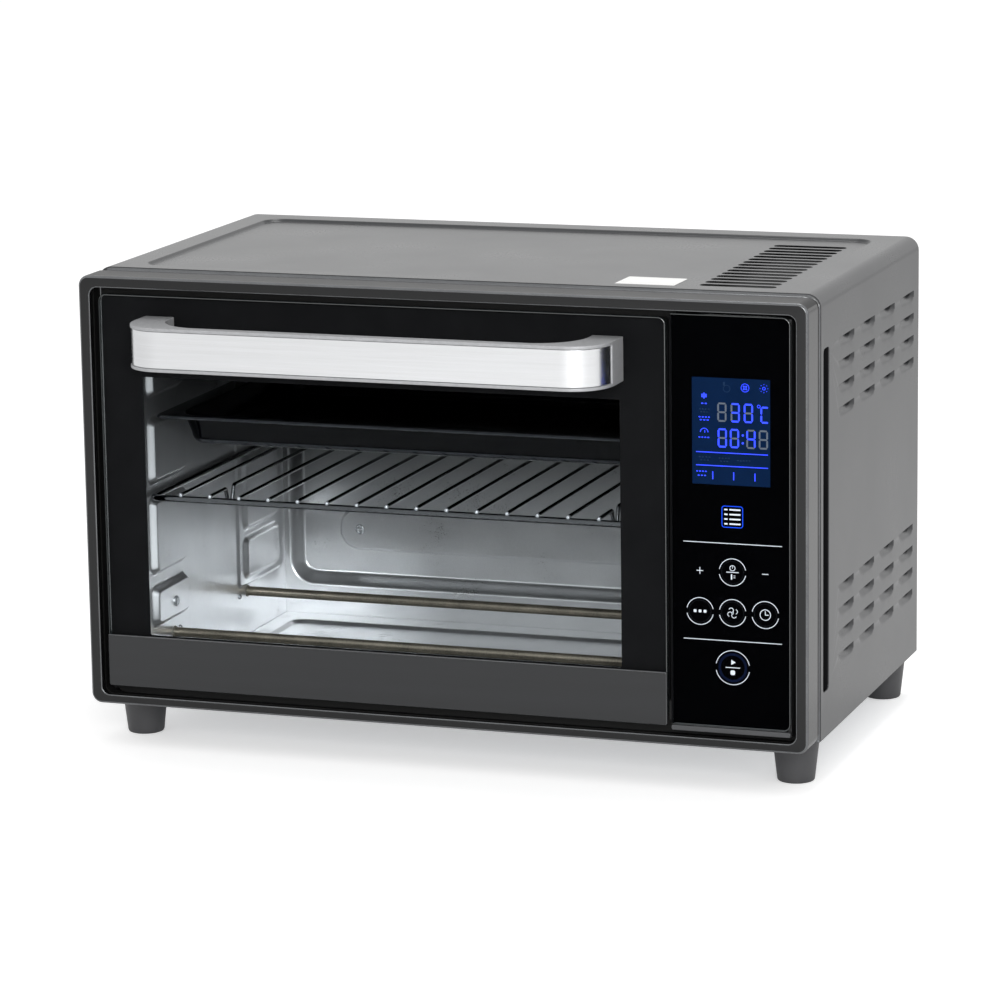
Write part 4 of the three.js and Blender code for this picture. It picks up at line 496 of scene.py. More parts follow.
# Each finish: the material's name; its dark and light tone, or one of the user's colours with the two
# shares of it; its range of roughness; the grain, relief and patches of make_finish(), in mm; and what
# else that takes. "glow" is the colour that it shines in and how strongly.
FINISH_TABLE = {
    # Baked graphite powder coat: satin, a fine orange peel that breaks up each highlight.
    "powder_coat": ("graphite_powder_coat", ("housing", 0.88, 1.12), (0.26, 0.32), 0.9, 0.004, 60),
    # The same coat on the moulded front frame: darker and smoother, so its edges glint.
    "frame_coat": ("frame_coat", ("frame", 0.8, 1.2), (0.17, 0.22), 0.9, 0.0015, 60, {GLOSS: 0.42}),
    # Painted shade: a little flatter copy of the frame coat, given to the frame's top side only, so that it
    # stays darker than its edges.
    "frame_side": ("frame_side_coat", ("frame", 0.9, 1.3), (0.3, 0.36), 0.9, 0.003, 60, {GLOSS: 0.12}),
    # Painted highlight for rounded edges: a lighter, half-metal coat that draws a thin line of light.
    "rubbed_edge": (
        "rubbed_edge", ("#58595B", "#6E7072"), (0.2, 0.27), 0.9, 0.0005, 20, {METAL: 0.5, GLOSS: 0.7},
    ),
    # Heat-proof black paint: flat and slightly dusty, it swallows the light behind the door. It also covers
    # the sheets behind the vents and the collar behind the frame, which are painted shade.
    "heat_paint": ("black_heat_paint", ("#0B0B0B", "#141414"), (0.62, 0.75), 0.5, 0.01, 30),
    # Rolled steel under a thin satin varnish: near black, with streaks along the rail.
    "satin_dark_steel": (
        "satin_dark_steel", ("rail", 0.9, 1.1), (0.3, 0.38), 0.4, 0.002, 8,
        {"stretch": (60, 1, 1), GLOSS: 0.36},
    ),
    # Hot-dip aluminised sheet: pale cloudy metal, with painted shade that darkens it towards the top, under
    # the tray and rack.
    "aluminised": (
        "aluminised_sheet", ("#DEDEDF", "#F2F2F3"), (0.26, 0.34), 0.7, 0.004, 35,
        {METAL: 0.85, "browned": (0.1, 0.22, 0.55)},
    ),
    # The same sheet on the back wall, with stronger painted shade towards the top, where the tray's shadow
    # falls.
    "aluminised_back": (
        "aluminised_back_sheet", ("#DEDEDF", "#F2F2F3"), (0.26, 0.34), 0.7, 0.004, 35,
        {METAL: 0.85, "browned": (0.07, 0.15, 0.13)},
    ),
    # Zinc-plated steel: greyer and patchier than the cavity, with a faint blue.
    "zinc_plate": ("zinc_plate", ("#9298A0", "#B4BAC0"), (0.3, 0.45), 0.6, 0.004, 12, {METAL: 1.0}),
    # Chrome plate on wire with a dark base: painted reflection of the dark surroundings it would mirror; a
    # clear coat draws the thin line of light.
    "chrome_wire": (
        "chrome_plate", ("#2A2C2F", "#383A3E"), (0.1, 0.15), 2.0, 0.002, 25,
        {METAL: 1.0, "Coat Weight": 1.0, "Coat IOR": 1.8, "Coat Roughness": 0.04},
    ),
    # Plated zinc casting, bead-blasted: an even satin without streaks.
    "satin_metal": ("satin_casting", ("#9A9B9D", "#AEAFB1"), (0.4, 0.5), 0.45, 0.02, 2.5, {METAL: 0.4}),
    # Brushed stainless strip: hairlines along its length, drawn coarse enough to show.
    "brushed_metal": (
        "brushed_stainless", ("#DADBDC", "#E6E7E9"), (0.2, 0.28), 0.35, 0.0005, 1.2,
        {"stretch": (90, 90, 1), METAL: 1.0},
    ),
    # Nickel-steel heater tube, turned brown by heat in bands.
    "heater_sheath": ("browned_sheath", ("#6E675C", "#A39A8A"), (0.3, 0.45), 1.0, 0.006, 14, {METAL: 0.7}),
    # Steatite insulator: dry brown-grey ceramic with fine pores.
    "steatite": ("steatite", ("#6C685F", "#7E7A70"), (0.6, 0.7), 0.5, 0.01, 6),
    # Black vitreous enamel: smooth over a slightly wavy coat, with a faint gloss.
    "vitreous_enamel": ("black_enamel", ("enamel", 0.7, 1.2), (0.12, 0.18), 6, 0.01, 40, {GLOSS: 0.12}),
    # Painted highlight: a lighter, glossier copy of the enamel on the rim and the lower rounding, drawn as a
    # line of light.
    "enamel_edge": ("enamel_edge", ("#2E2F32", "#3C3D41"), (0.1, 0.15), 6, 0.01, 40, {GLOSS: 0.8}),
    # Plated weld bead or screw head: a small bright dome.
    "bright_weld": ("bright_weld", ("#B9BBBE", "#D5D7DA"), (0.2, 0.3), 0.3, 0.002, 3, {METAL: 0.7}),
    # Ceramic ink fired on the back of the glass: soft black, with a fine stipple. It is also laid as painted
    # shade in the side grooves and on the left edges of the panel glass.
    "black_print": ("fired_black_ink", ("#161617", "#1C1C1D"), (0.5, 0.6), 0.3, 0.001, 20, UNDER_GLASS),
    # Ink behind the panel glass: the deepest black on the oven.
    "panel_print": ("panel_black_ink", ("#030304", "#060607"), (0.5, 0.6), 0.3, 0.001, 20, UNDER_GLASS),
    # Silver-white ink printed behind the panel glass; its faint glow is painted light, so that it reads
    # bright at a glance.
    "light_print": (
        "silver_white_ink", ("#E8EAED", "#F6F7F9"), (0.4, 0.5), 0.2, 0.001, 4,
        {**UNDER_GLASS, "glow": ("#C8CCD2", 0.3)},
    ),
    # Heat-proof moulded nylon: near black, with a fine spark-eroded texture.
    "nylon": ("black_nylon", ("#101011", "#18181A"), (0.5, 0.6), 0.35, 0.012, 12),
    # Moulded foot: charcoal, satin, with a faint texture.
    "foot_polymer": ("charcoal_foot", ("#3C3C3E", "#48484A"), (0.42, 0.52), 0.5, 0.01, 15),
    # Grey satin lacquer on the trim below the panel glass.
    "strip_paint": ("grey_lacquer", ("#3C3D3F", "#464749"), (0.35, 0.42), 0.6, 0.003, 20),
    # Green solder resist with the copper showing through as lighter tracks.
    "circuit_board": ("solder_resist", ("#0C3A1C", "#15592B"), (0.3, 0.4), 1.5, 0.02, 4),
    # Coated white sticker paper: flat and even.
    "label_paper": ("white_sticker", ("#E9E9E7", "#F6F6F4"), (0.45, 0.55), 0.3, 0.002, 10),
    # Back-lit display: a deep blue that drifts a little, like light in a guide.
    "display_back": (
        "display_backlight", ("backlight", 0.85, 1.2), (0.3, 0.4), 0.6, 0.001, 18,
        {**UNDER_GLASS, "glow": ("backlight", 0.9)},
    ),
    # Lit segments: saturated blue that shines by itself.
    "display_lit": (
        "lit_segments", ("segments", 0.9, 1.1), (0.4, 0.5), 0.4, 0.001, 3,
        {**UNDER_GLASS, "glow": ("segments", 1.6)},
    ),
    # Segments that are switched off: grey liquid crystal, lighter than the field.
    "display_unlit": (
        "unlit_segments", ("#565B63", "#6A6F78"), (0.4, 0.5), 0.4, 0.001, 3,
        {**UNDER_GLASS, "glow": ("#4A5058", 0.8)},
    ),
    # Marks of the display that are switched off: almost lost in the field.
    "display_faint": (
        "faint_segments", ("#1C2C44", "#24364F"), (0.4, 0.5), 0.4, 0.001, 3,
        {**UNDER_GLASS, "glow": ("#16263E", 0.8)},
    ),
    # Dark grey ink of the inner rings, just lighter than the black.
    "dim_ink": ("charcoal_ink", ("#17181A", "#1F2022"), (0.4, 0.5), 0.2, 0.001, 4, UNDER_GLASS),
    # Start key's ring, faintly back-lit in blue.
    "dim_blue": (
        "faint_blue_key_light", ("#0A0E1C", "#0F1527"), (0.4, 0.5), 0.4, 0.001, 3,
        {**UNDER_GLASS, "glow": ("#0B1226", 0.8)},
    ),
    # Blue-lit frame of the programme key.
    "icon_blue": (
        "blue_key_light", ("#1238B8", "#1E50E0"), (0.4, 0.5), 0.4, 0.001, 3,
        {**UNDER_GLASS, "glow": ("#1C4CE8", 0.9)},
    ),
    # Ground and polished edge of sheet glass: a grey line that catches every light.
    "ground_edge": (
        "ground_glass_edge", ("#1E2223", "#2E3334"), (0.12, 0.18), 0.3, 0.001, 15,
        {GLOSS: 1.0, "Coat Weight": 0.5, "Coat Roughness": 0.08},
    ),
}
# Each pane: the material's name, its tint, its refractive index and its coat against glare.
PANES = {
    # Toughened soda-lime glass with a light grey tint: clear from the front, a mirror at a slant.
    "door_pane": ("toughened_glass", "#F8FAFB", 1.13, 0.02),
    # Cover glass of the control panel, coated against glare: it hardly mirrors.
    "panel_pane": ("coated_cover_glass", "#F4F6F8", 1.06, 0.02),
    # Borosilicate lamp glass: clear and thick, with a bright rim.
    "lamp_pane": ("borosilicate", "#F2F4F2", 1.47, 0.0),
}
FINISHES = {}


def finish(name):
    """The material of that name, made once."""
    if name in FINISHES:
        return FINISHES[name]
    if name in PANES:
        FINISHES[name] = make_pane(*PANES[name])
        return FINISHES[name]
    label, tones, rough, grain, relief, patches, *more = FINISH_TABLE[name]
    if tones[0][0] != "#":
        base = getattr(colours(), tones[0])
        tones = [shade_of(base, share) for share in tones[1:]]
    settings = dict(more[0]) if more else {}
    if "glow" in settings:
        source, settings["Emission Strength"] = settings.pop("glow")
        own = source[0] != "#"
        settings["Emission Color"] = tuple(getattr(colours(), source)) if own else linear(source)
    FINISHES[name] = make_finish(label, *tones, rough, grain, relief, patches, **settings)
    return FINISHES[name]


# ---------------------------------------------------------------- stage
CAMERA_PLACE = (0.92516, -2.65460, 0.73146)
CAMERA_YAW, CAMERA_PITCH, CAMERA_ROLL = 19.224, 11.653, 0.814  # degrees: left, down, over
CAMERA_LENS = 157.109


class Builds:
    """What the operators share."""

    bl_options = {"REGISTER", "UNDO"}

    def execute(self, context):
        self.build()
        return {"FINISHED"}


def add_lamp(name, place, aim, size, watts):
    """A square softbox at a place, turned towards a point."""
    deselect()
    bpy.ops.object.light_add(type="AREA", location=place)
    lamp = bpy.context.object
    lamp.name = name
    lamp.data.size = size
    lamp.data.energy = watts
    away = Vector(place) - Vector(aim)
    lamp.rotation_euler = away.to_track_quat("Z", "Y").to_euler()


class OVEN_OT_stage(Builds, bpy.types.Operator):
    """Pale floor, soft studio light and the camera"""

    bl_idname = "oven.stage"
    bl_label = "Stage"

    def build(self):
        scene = bpy.context.scene
        scene.view_settings.view_transform = "Standard"
        deselect()
        bpy.ops.mesh.primitive_plane_add(size=80, location=(0, 0, 0))
        floor = bpy.context.object
        floor.name = "floor"
        floor.data.materials.append(self.pale("pale_floor", 0.42))
        self.light_world(scene)
        add_lamp("softbox_top", (0.1, 0.5, 2.3), (0, 0, 0.2), 0.9, 14)
        add_lamp("softbox_right", (2.3, -0.5, 0.9), (0.1, 0, 0.15), 0.8, 4)
        add_lamp("softbox_front", (0.9, -2.4, 0.95), (-0.05, 0, 0.12), 1.0, 33)
        self.place_camera(scene)

    def pale(self, name, lift):
        """White floor; seen directly or mirrored it is lifted to white, and it keeps the shadow."""
        material, tree = start_finish(name)
        where = add_node(tree, "TexCoord").outputs["Object"]
        dust = {"Vector": where, "Scale": 1.5, "Detail": 3.0}
        soft = add_node(tree, "TexNoise", dust).outputs["Fac"]
        tones = {0: soft, COLOUR_A: linear("#EFEFEF"), COLOUR_B: linear("#F2F2F2")}
        tone = add_node(tree, "Mix", tones, data_type="RGBA").outputs[COLOUR_OUT]
        matte = add_node(tree, "BsdfDiffuse", {"Color": tone}).outputs[0]
        seen = self.seen(tree, lift, 0.3)
        glow = add_node(tree, "Emission", {"Color": (1, 1, 1, 1), "Strength": seen}).outputs[0]
        both = add_node(tree, "AddShader", {0: matte, 1: glow}).outputs[0]
        add_node(tree, "OutputMaterial", {"Surface": both})
        return material

    def seen(self, tree, strength, mirrored=1.0):
        """The strength for rays from the camera or through glass, a share of it for mirrored ones, else 0."""
        path = add_node(tree, "LightPath")
        both = {0: path.outputs["Is Glossy Ray"], 1: mirrored}
        total = add_node(tree, "Math", both, operation="MULTIPLY").outputs[0]
        for name in ("Is Camera Ray", "Is Transmission Ray"):
            both = {0: total, 1: path.outputs[name]}
            total = add_node(tree, "Math", both, operation="MAXIMUM").outputs[0]
        return add_node(tree, "Math", {0: total, 1: strength}, operation="MULTIPLY").outputs[0]

    def light_world(self, scene):
        world = bpy.data.worlds.new("studio")
        scene.world = world
        world.use_nodes = True
        tree = world.node_tree
        tree.nodes.clear()
        plain = 0.7  # what lights the object; seen directly the world is white
        extra = self.seen(tree, 1.0 - plain)
        strength = add_node(tree, "Math", {0: extra, 1: plain}, operation="ADD").outputs[0]
        world.cycles.sampling_method = "NONE"  # so that gloss finds the white it should mirror
        shine = add_node(tree, "Background", {"Color": (1, 1, 1, 1), "Strength": strength})
        add_node(tree, "OutputWorld", {"Surface": shine.outputs[0]})

    def place_camera(self, scene):
        deselect()
        bpy.ops.object.camera_add(location=CAMERA_PLACE)
        camera = bpy.context.object
        camera.data.lens = CAMERA_LENS
        camera.data.sensor_width = 36
        camera.data.clip_start, camera.data.clip_end = 0.05, 200
        yaw, pitch, roll = (math.radians(a) for a in (CAMERA_YAW, CAMERA_PITCH, CAMERA_ROLL))
        ahead = Vector((-math.sin(yaw) * math.cos(pitch), math.cos(yaw) * math.cos(pitch), -math.sin(pitch)))
        right = Vector((math.cos(yaw), math.sin(yaw), 0))
        down = ahead.cross(right)
        across = math.cos(roll) * right + math.sin(roll) * down
        below = -math.sin(roll) * right + math.cos(roll) * down
        turned = Matrix((across, -below, -ahead)).transposed()
        camera.rotation_euler = turned.to_euler()
        scene.camera = camera


# ---------------------------------------------------------------- housing and front frame
SHELL_FRONT = SHELL.y0 + 6 * MM
PRESS_INSET_X, PRESS_INSET_FRONT, PRESS_INSET_REAR = 24.5 * MM, 17 * MM, 18 * MM
VENT_COUNT, VENT_PITCH, VENT_LONG, VENT_WIDE = 15, 12.3 * MM, 50 * MM, 8.8 * MM
VENT_RIGHT = SHELL.x1 - PRESS_INSET_X - 12 * MM  # the vents' right ends
VENT_FIRST = SHELL.y0 + PRESS_INSET_FRONT + 19 * MM  # the middle of the front one
GROOVE, GROOVE_WIDE = SHELL.y0 + 18.5 * MM, 14.4 * MM  # where the side grooves lie in depth
FRAME_OPENING = ((-234.8 * MM, 234.6 * MM), (34 * MM, 303.3 * MM))
FRAME_WIDER, FRAME_HIGHER = 2.4 * MM, 2.8 * MM  # past the CAD frame, on each side and at the top
FRAME_DEEP = 22.7 * MM
LOUVRE_LONG, LOUVRE_HIGH = 39 * MM, 7 * MM
LOUVRE_COLUMNS, LOUVRE_PITCH_Y = 4, 52.5 * MM
LOUVRE_ROWS, LOUVRE_PITCH_Z = 4, 14.9 * MM
LOUVRE_FIRST, LOUVRE_TOP = SHELL.y0 + 48 * MM, SHELL.z1 - 34 * MM  # front end of the first, its slit
LOWER_BLOCK_TOP = SHELL.z0 + 90.9 * MM


def copy_to(offsets):
    """Copies what is selected to each offset from where it stands."""
    here = Vector()
    for offset in offsets:
        step = Vector(offset) - here
        bpy.ops.mesh.duplicate_move(TRANSFORM_OT_translate={"value": step})
        here = Vector(offset)


class OVEN_OT_housing(Builds, bpy.types.Operator):
    """Bent housing sheet with its pressed top, vents, side grooves and louvres"""

    bl_idname = "oven.housing"
    bl_label = "Housing"

    def build(self):
        piece = new_piece("housing_skin")
        bend = sizes().shell_bend
        self.top(bend)
        self.right_side(bend)
        pick("FACE", lambda p, n: p.x > SHELL.x1 - bend + NEAR)
        bpy.ops.mesh.duplicate()
        bpy.ops.transform.resize(value=(-1, 1, 1), center_override=(0, 0, 0))
        for side in (1, -1):
            edge = side * (SHELL.x1 - bend)
            pick_rims(lambda p, edge=edge: abs(p.x - edge) < NEAR and p.z > SHELL.z1 - NEAR)
            bpy.ops.mesh.spin(
                steps=8, angle=-side * math.pi / 2, center=(edge, 0, SHELL.z1 - bend), axis=(0, 1, 0)
            )
        merge()
        self.hem()
        outwards()
        thicken(piece, 0.5 * MM)
        finish_piece(piece, "powder_coat", "housing_shell", smooth=30)
        # Painted shade: the side grooves' walls and floor, deeper than 2 mm, get the black ink, so that the
        # grooves read dark.
        deep, side = SHELL.x1 - 2 * MM, SHELL.z1 - 30 * MM

        def in_groove(p, n):
            return abs(p.x) < deep and p.z < side and abs(p.y - GROOVE) < 8 * MM

        second_finish(piece, "black_print", in_groove)
        # Painted highlight: the hem's rounding gets the lighter edge finish, a line of light beside the
        # frame.
        second_finish(piece, "rubbed_edge", lambda p, n: p.y < SHELL_FRONT and 0.1 < -n.y < 0.95)
        self.shade_sheets()

    def hem(self):
        """Turns the front edge of the sheet in towards the front frame."""
        here = SHELL_FRONT
        pick_rims(lambda p: abs(p.y - here) < NEAR)
        for inwards, ahead in (*round_over(2.4 * MM, 6)[::-1], (2.5 * MM, 0)):
            pull((0, -ahead, 0))
            here -= ahead
            shrunk = (1 - inwards / SHELL.x1, 1, 1 - inwards / (SHELL.z1 - SHELL.z0))
            bpy.ops.transform.resize(value=shrunk, center_override=(0, here, SHELL.z0))

    def shade_sheets(self):
        """Dark sheets under the vents and behind the right louvres, which hide the works: painted shade, so
        that the openings read dark inside.
        """
        piece = new_piece("vent_shield")
        at = SHELL.z1 - 9 * MM
        across = (VENT_RIGHT - 56 * MM, VENT_RIGHT + 6 * MM)
        flat("+z", at, across, (VENT_FIRST - 9 * MM, VENT_FIRST + 14.8 * VENT_PITCH), 4 * MM, 4)
        sink([(0.5 * MM, 0), (1.5 * MM, -1.5 * MM)])
        deep, high = (SHELL.y0 + 40 * MM, SHELL.y1 - 8 * MM), (SHELL.z0 + 32 * MM, SHELL.z1 - 27 * MM)
        flat("+x", SHELL.x1 - 9.6 * MM, deep, high, 4 * MM, 4)
        thicken(piece, 0.5 * MM)
        finish_piece(piece, "heat_paint", body="oven")

    def top(self, bend):
        """The flat top with its pressed panel, and the vents cut in that."""
        step = sizes().top_step
        high, low = SHELL.z1, SHELL.z1 - step
        flat("+z", high, (SHELL.x0 + bend, SHELL.x1 - bend), (SHELL_FRONT, SHELL.y1))
        open_face()
        across = (SHELL.x0 + PRESS_INSET_X, SHELL.x1 - PRESS_INSET_X)
        deep = (SHELL.y0 + PRESS_INSET_FRONT, SHELL.y1 - PRESS_INSET_REAR)
        flat("+z", high, across, deep, 14 * MM, 10)
        sink(soft_step(2.6 * MM, -step, 8))
        open_face()
        half = VENT_WIDE / 2
        slot = (VENT_FIRST - half, VENT_FIRST + half)
        flat("+z", low, (VENT_RIGHT - VENT_LONG, VENT_RIGHT), slot, 4 * MM, 5)
        sink([(0.2 * MM, -0.05 * MM), (0.15 * MM, -0.15 * MM)])
        open_face()
        middle, reach = VENT_RIGHT - VENT_LONG / 2, VENT_LONG / 2 + MM
        pick("FACE", lambda p, n: abs(p.x - middle) < reach and abs(p.y - VENT_FIRST) < 5 * MM)
        copy_to([(0, VENT_PITCH * k, 0) for k in range(1, VENT_COUNT)])
        fill_flat("z", high)
        fill_flat("z", low)

    def right_side(self, bend):
        """The right side with its upright groove and its two blocks of louvres."""
        face = SHELL.x1
        flat("+x", face, (SHELL_FRONT, SHELL.y1), (SHELL.z0, SHELL.z1 - bend))
        open_face()
        upright = (SHELL.z0 + 29.4 * MM, SHELL.z1 - 35 * MM)
        half = GROOVE_WIDE / 2
        flat("+x", face, (GROOVE - half, GROOVE + half), upright, 3.4 * MM, 5)
        deep = sizes().groove_depth
        rounded = [(0.25 * MM, -0.1 * MM), (0.25 * MM, -0.5 * MM)]
        sink([*rounded, (0.4 * MM, 0.9 * MM - deep), (0.4 * MM, -0.3 * MM)])
        self.louvre()
        places = [
            (0, LOUVRE_PITCH_Y * column, block - LOUVRE_PITCH_Z * row)
            for block in (0, LOWER_BLOCK_TOP - LOUVRE_TOP)
            for row in range(LOUVRE_ROWS)
            for column in range(LOUVRE_COLUMNS)
        ]
        pick_louvre()
        copy_to(places[1:])
        fill_flat("x", face)

    def louvre(self):
        """One louvre: a flap slit along its top edge and pushed in, deepest at its rear end."""
        face, first, high = SHELL.x1, LOUVRE_FIRST, LOUVRE_TOP
        columns, rows = 14, 5
        middle = (face, first + LOUVRE_LONG / 2, high - LOUVRE_HIGH / 2)
        bpy.ops.mesh.primitive_grid_add(
            x_subdivisions=columns, y_subdivisions=rows, size=1, location=middle, rotation=FACINGS["+x"]
        )
        stretch_flat("+x", middle, LOUVRE_LONG, LOUVRE_HIGH)
        along = (0, 0.3, 0.34, 0.36, 0.38, 0.42, 0.46, 0.52, 0.6, 0.7, 0.82, 0.94, 1, 0.96, 0)
        for column, share in enumerate(along):
            y = first + LOUVRE_LONG * column / columns
            reach = math.sqrt(1 - (2 * column / columns - 1) ** 4) if share else 0
            for row in range(rows):
                down = row / rows
                if down >= reach:
                    break
                z = high - LOUVRE_HIGH * down
                sunk = sizes().louvre_depth * share * math.cos(math.pi / 2 * down / reach) ** 2
                pick("VERT", lambda p, n: abs(p.z - z) < NEAR and abs(p.y - y) < NEAR and p.x > face - NEAR)
                bpy.ops.transform.translate(value=(-sunk, 0, 0))
        corners = (first, first + LOUVRE_LONG)
        pick("VERT", lambda p, n: abs(p.z - high) < NEAR and min(abs(p.y - c) for c in corners) < NEAR)
        bpy.ops.mesh.edge_face_add()


def pick_louvre():
    """Selects the only louvre there is so far, its slit's upper edge included."""
    mesh = bmesh.from_edit_mesh(bpy.context.object.data)
    bpy.ops.mesh.select_all(action="DESELECT")
    front, back = LOUVRE_FIRST - MM, LOUVRE_FIRST + LOUVRE_LONG + MM
    low, top = LOUVRE_TOP - LOUVRE_HIGH - MM, LOUVRE_TOP + MM
    inner = SHELL.x1 - 9 * MM
    for edge in mesh.edges:
        ends = [v.co for v in edge.verts]
        if all(front < p.y < back and low < p.z < top and p.x > inner for p in ends):
            edge.select_set(True)
    mesh.select_flush_mode()
    bmesh.update_edit_mesh(bpy.context.object.data)


class OVEN_OT_frame(Builds, bpy.types.Operator):
    """Front frame with its rounded edge and the lip round the opening"""

    bl_idname = "oven.front_frame"
    bl_label = "Front frame"

    def build(self):
        piece = new_piece("front_frame_finished")
        round_edge, lip = sizes().frame_round, sizes().lip_depth
        across, up = (FRAME.x0 - FRAME_WIDER, FRAME.x1 + FRAME_WIDER), (FRAME.z0, FRAME.z1 + FRAME_HIGHER)
        flat("-y", FRONT + round_edge, across, up, sizes().frame_corner, 12)
        sink(round_over(round_edge, 6))
        open_face()
        soft = 0.7 * MM
        wide = [(a - soft, b + soft) for a, b in FRAME_OPENING]
        flat("-y", FRONT, *wide, sizes().lip_corner + soft, 10)
        sink([(b, -a) for a, b in reversed(round_over(soft, 3))])
        pull((0, lip - soft, 0))
        open_face()
        fill_flat("y", FRONT)
        rim = FRONT + round_edge
        pick_rims(lambda p: abs(p.y - rim) < NEAR)
        pull((0, FRAME_DEEP - round_edge, 0))
        outwards()
        thicken(piece, 1.2 * MM)
        finish_piece(piece, "frame_coat", "front_frame", smooth=40)
        # Painted highlight: the frame's rounded outer edge and lip get the lighter edge finish.
        second_finish(piece, "rubbed_edge", lambda p, n: p.y < rim and 0.15 < -n.y < 0.98)
        # Painted shade: the frame's upward faces get the less glossy copy of its coat, so they render darker.
        second_finish(piece, "frame_side", lambda p, n: p.y > rim and n.z > 0.5)
        # Painted shade: a black collar behind the frame, so that the gap between frame and housing reads
        # dark.
        collar, inset, back = new_piece("frame_collar"), 1.3 * MM, FRONT + 29.6 * MM
        flat(
            "+y", back, (across[0] + inset, across[1] - inset), (up[0] + inset, up[1] - inset),
            sizes().frame_corner - inset, 8,
        )
        open_face()
        pick_rims(lambda p: True)
        pull((0, -10 * MM, 0))
        outwards()
        thicken(collar, 0.8 * MM)
        finish_piece(collar, "heat_paint", body="oven")


# ---------------------------------------------------------------- door and handle
WINDOW_LEFT, WINDOW_RIGHT, WINDOW_DROP = 28.3 * MM, 31.1 * MM, 53.7 * MM
RAIL = box_of("door_rail")._replace(x0=GLASS.x0, z0=39.8 * MM)
HANDLE = box_of("handle_body")._replace(x0=-197.5 * MM, x1=123.4 * MM)


def slab(box, corner, edge, steps=8, left_corner=None):
    """Adds a plate across y, with rounded corners and ground edges, to an empty mesh."""
    block((box.x0, box.y0, box.z0), (box.x1, box.y1, box.z1))
    middle = (box.x0 + box.x1) / 2
    for left, radius in ((False, corner), (True, corner if left_corner is None else left_corner)):
        pick("EDGE", lambda p, d, left=left: abs(d.y) > 0.99 and (p.x < middle) == left)
        bpy.ops.mesh.bevel(offset=radius, segments=steps, affect="EDGES")
    pick("EDGE", lambda p, d: abs(d.y) < 0.1 and min(abs(p.y - box.y0), abs(p.y - box.y1)) < NEAR)
    bpy.ops.mesh.bevel(offset=edge, segments=3, affect="EDGES")


def grind(glass):
    """Gives the edges of a glass plate their ground finish."""
    second_finish(glass, "ground_edge", lambda p, n: abs(n.y) < 0.99)


def window_of():
    """The clear part of the door, as its two ranges."""
    return ((GLASS.x0 + WINDOW_LEFT, GLASS.x1 - WINDOW_RIGHT), (RAIL.z1, GLASS.z1 - WINDOW_DROP))


class OVEN_OT_door(Builds, bpy.types.Operator):
    """Door glass, the print fired behind it, the inner frame and the rail"""

    bl_idname = "oven.door"
    bl_label = "Door"

    def build(self):
        corner = sizes().door_corner
        glass = new_piece("door_sheet_glass")
        slab(GLASS, corner, sizes().glass_edge)
        finish_piece(glass, "door_pane", "door_glass")
        grind(glass)
        self.ink(corner)
        self.inner_frame(corner)
        self.rail()

    def ink(self, corner):
        piece = new_piece("door_border_ink")
        at = GLASS.y1 + 0.04 * MM
        margin = 0.9 * MM
        across, up = ranges(GLASS, "xz", margin)
        flat("-y", at, across, up, corner - margin, 8)
        open_face()
        flat("-y", at, *window_of(), 1.2 * MM, 4)
        open_face()
        fill_flat("y", at)
        thicken(piece, 0.1 * MM)
        finish_piece(piece, "black_print", body="door")

    def inner_frame(self, corner):
        box = box_of("door_frame")
        (left, right), (low, high) = window_of()
        piece = new_piece("door_inner_frame")
        slab(box, corner, 1.2 * MM)
        deep = (box.y0 - 9 * MM, box.y1 + 9 * MM)
        left, right, low, high = left - 5.5 * MM, right + 4 * MM, low - 3 * MM, high + 4 * MM
        opening = tool("opening_tool", (left, deep[0], low), (right, deep[1], high), "y", 3 * MM, 5)
        reach = 4 * MM
        behind = (left - reach, box.y1 - 1.2 * MM, low - reach)
        seat = tool("seal_tool", behind, (right + reach, deep[1], high + reach), "y", 8 * MM, 6)
        carve(piece, opening, seat)
        soften(piece, 0.5 * MM)
        finish_piece(piece, "nylon", "door_frame", smooth=50)

    def rail(self):
        piece = new_piece("door_kick_rail")
        soft = 0.9 * MM
        flat("-y", RAIL.y0 + soft, *ranges(RAIL, "xz"))
        for low, radius in ((True, 1.6 * MM), (False, 0.8 * MM)):
            edge = RAIL.z0 if low else RAIL.z1
            pick("VERT", lambda p, n, edge=edge: abs(p.z - edge) < NEAR)
            round_corners(radius, 6)
        pick("FACE", lambda p, n: True)
        sink(round_over(soft, 4))
        pick_rims(lambda p: True)
        pull((0, 0.25 * MM, 0))
        thicken(piece, 0.8 * MM)
        edit(piece)
        gap, lip = 1 * MM, RAIL.z0 + 1.7 * MM
        low = (box_of("hinge_left").x1 + gap, RAIL.y0 + 0.75 * MM, lip)
        block(low, (box_of("hinge_right").x0 - gap, RAIL.y1, lip + 1 * MM), "z", 2 * MM, 4)
        finish_piece(piece, "satin_dark_steel", "door_rail", smooth=40)
        # Painted highlight: the rail's rounded front edges get the lighter edge finish.
        second_finish(piece, "rubbed_edge", lambda p, n: p.y < RAIL.y0 + soft and 0.2 < -n.y < 0.97)


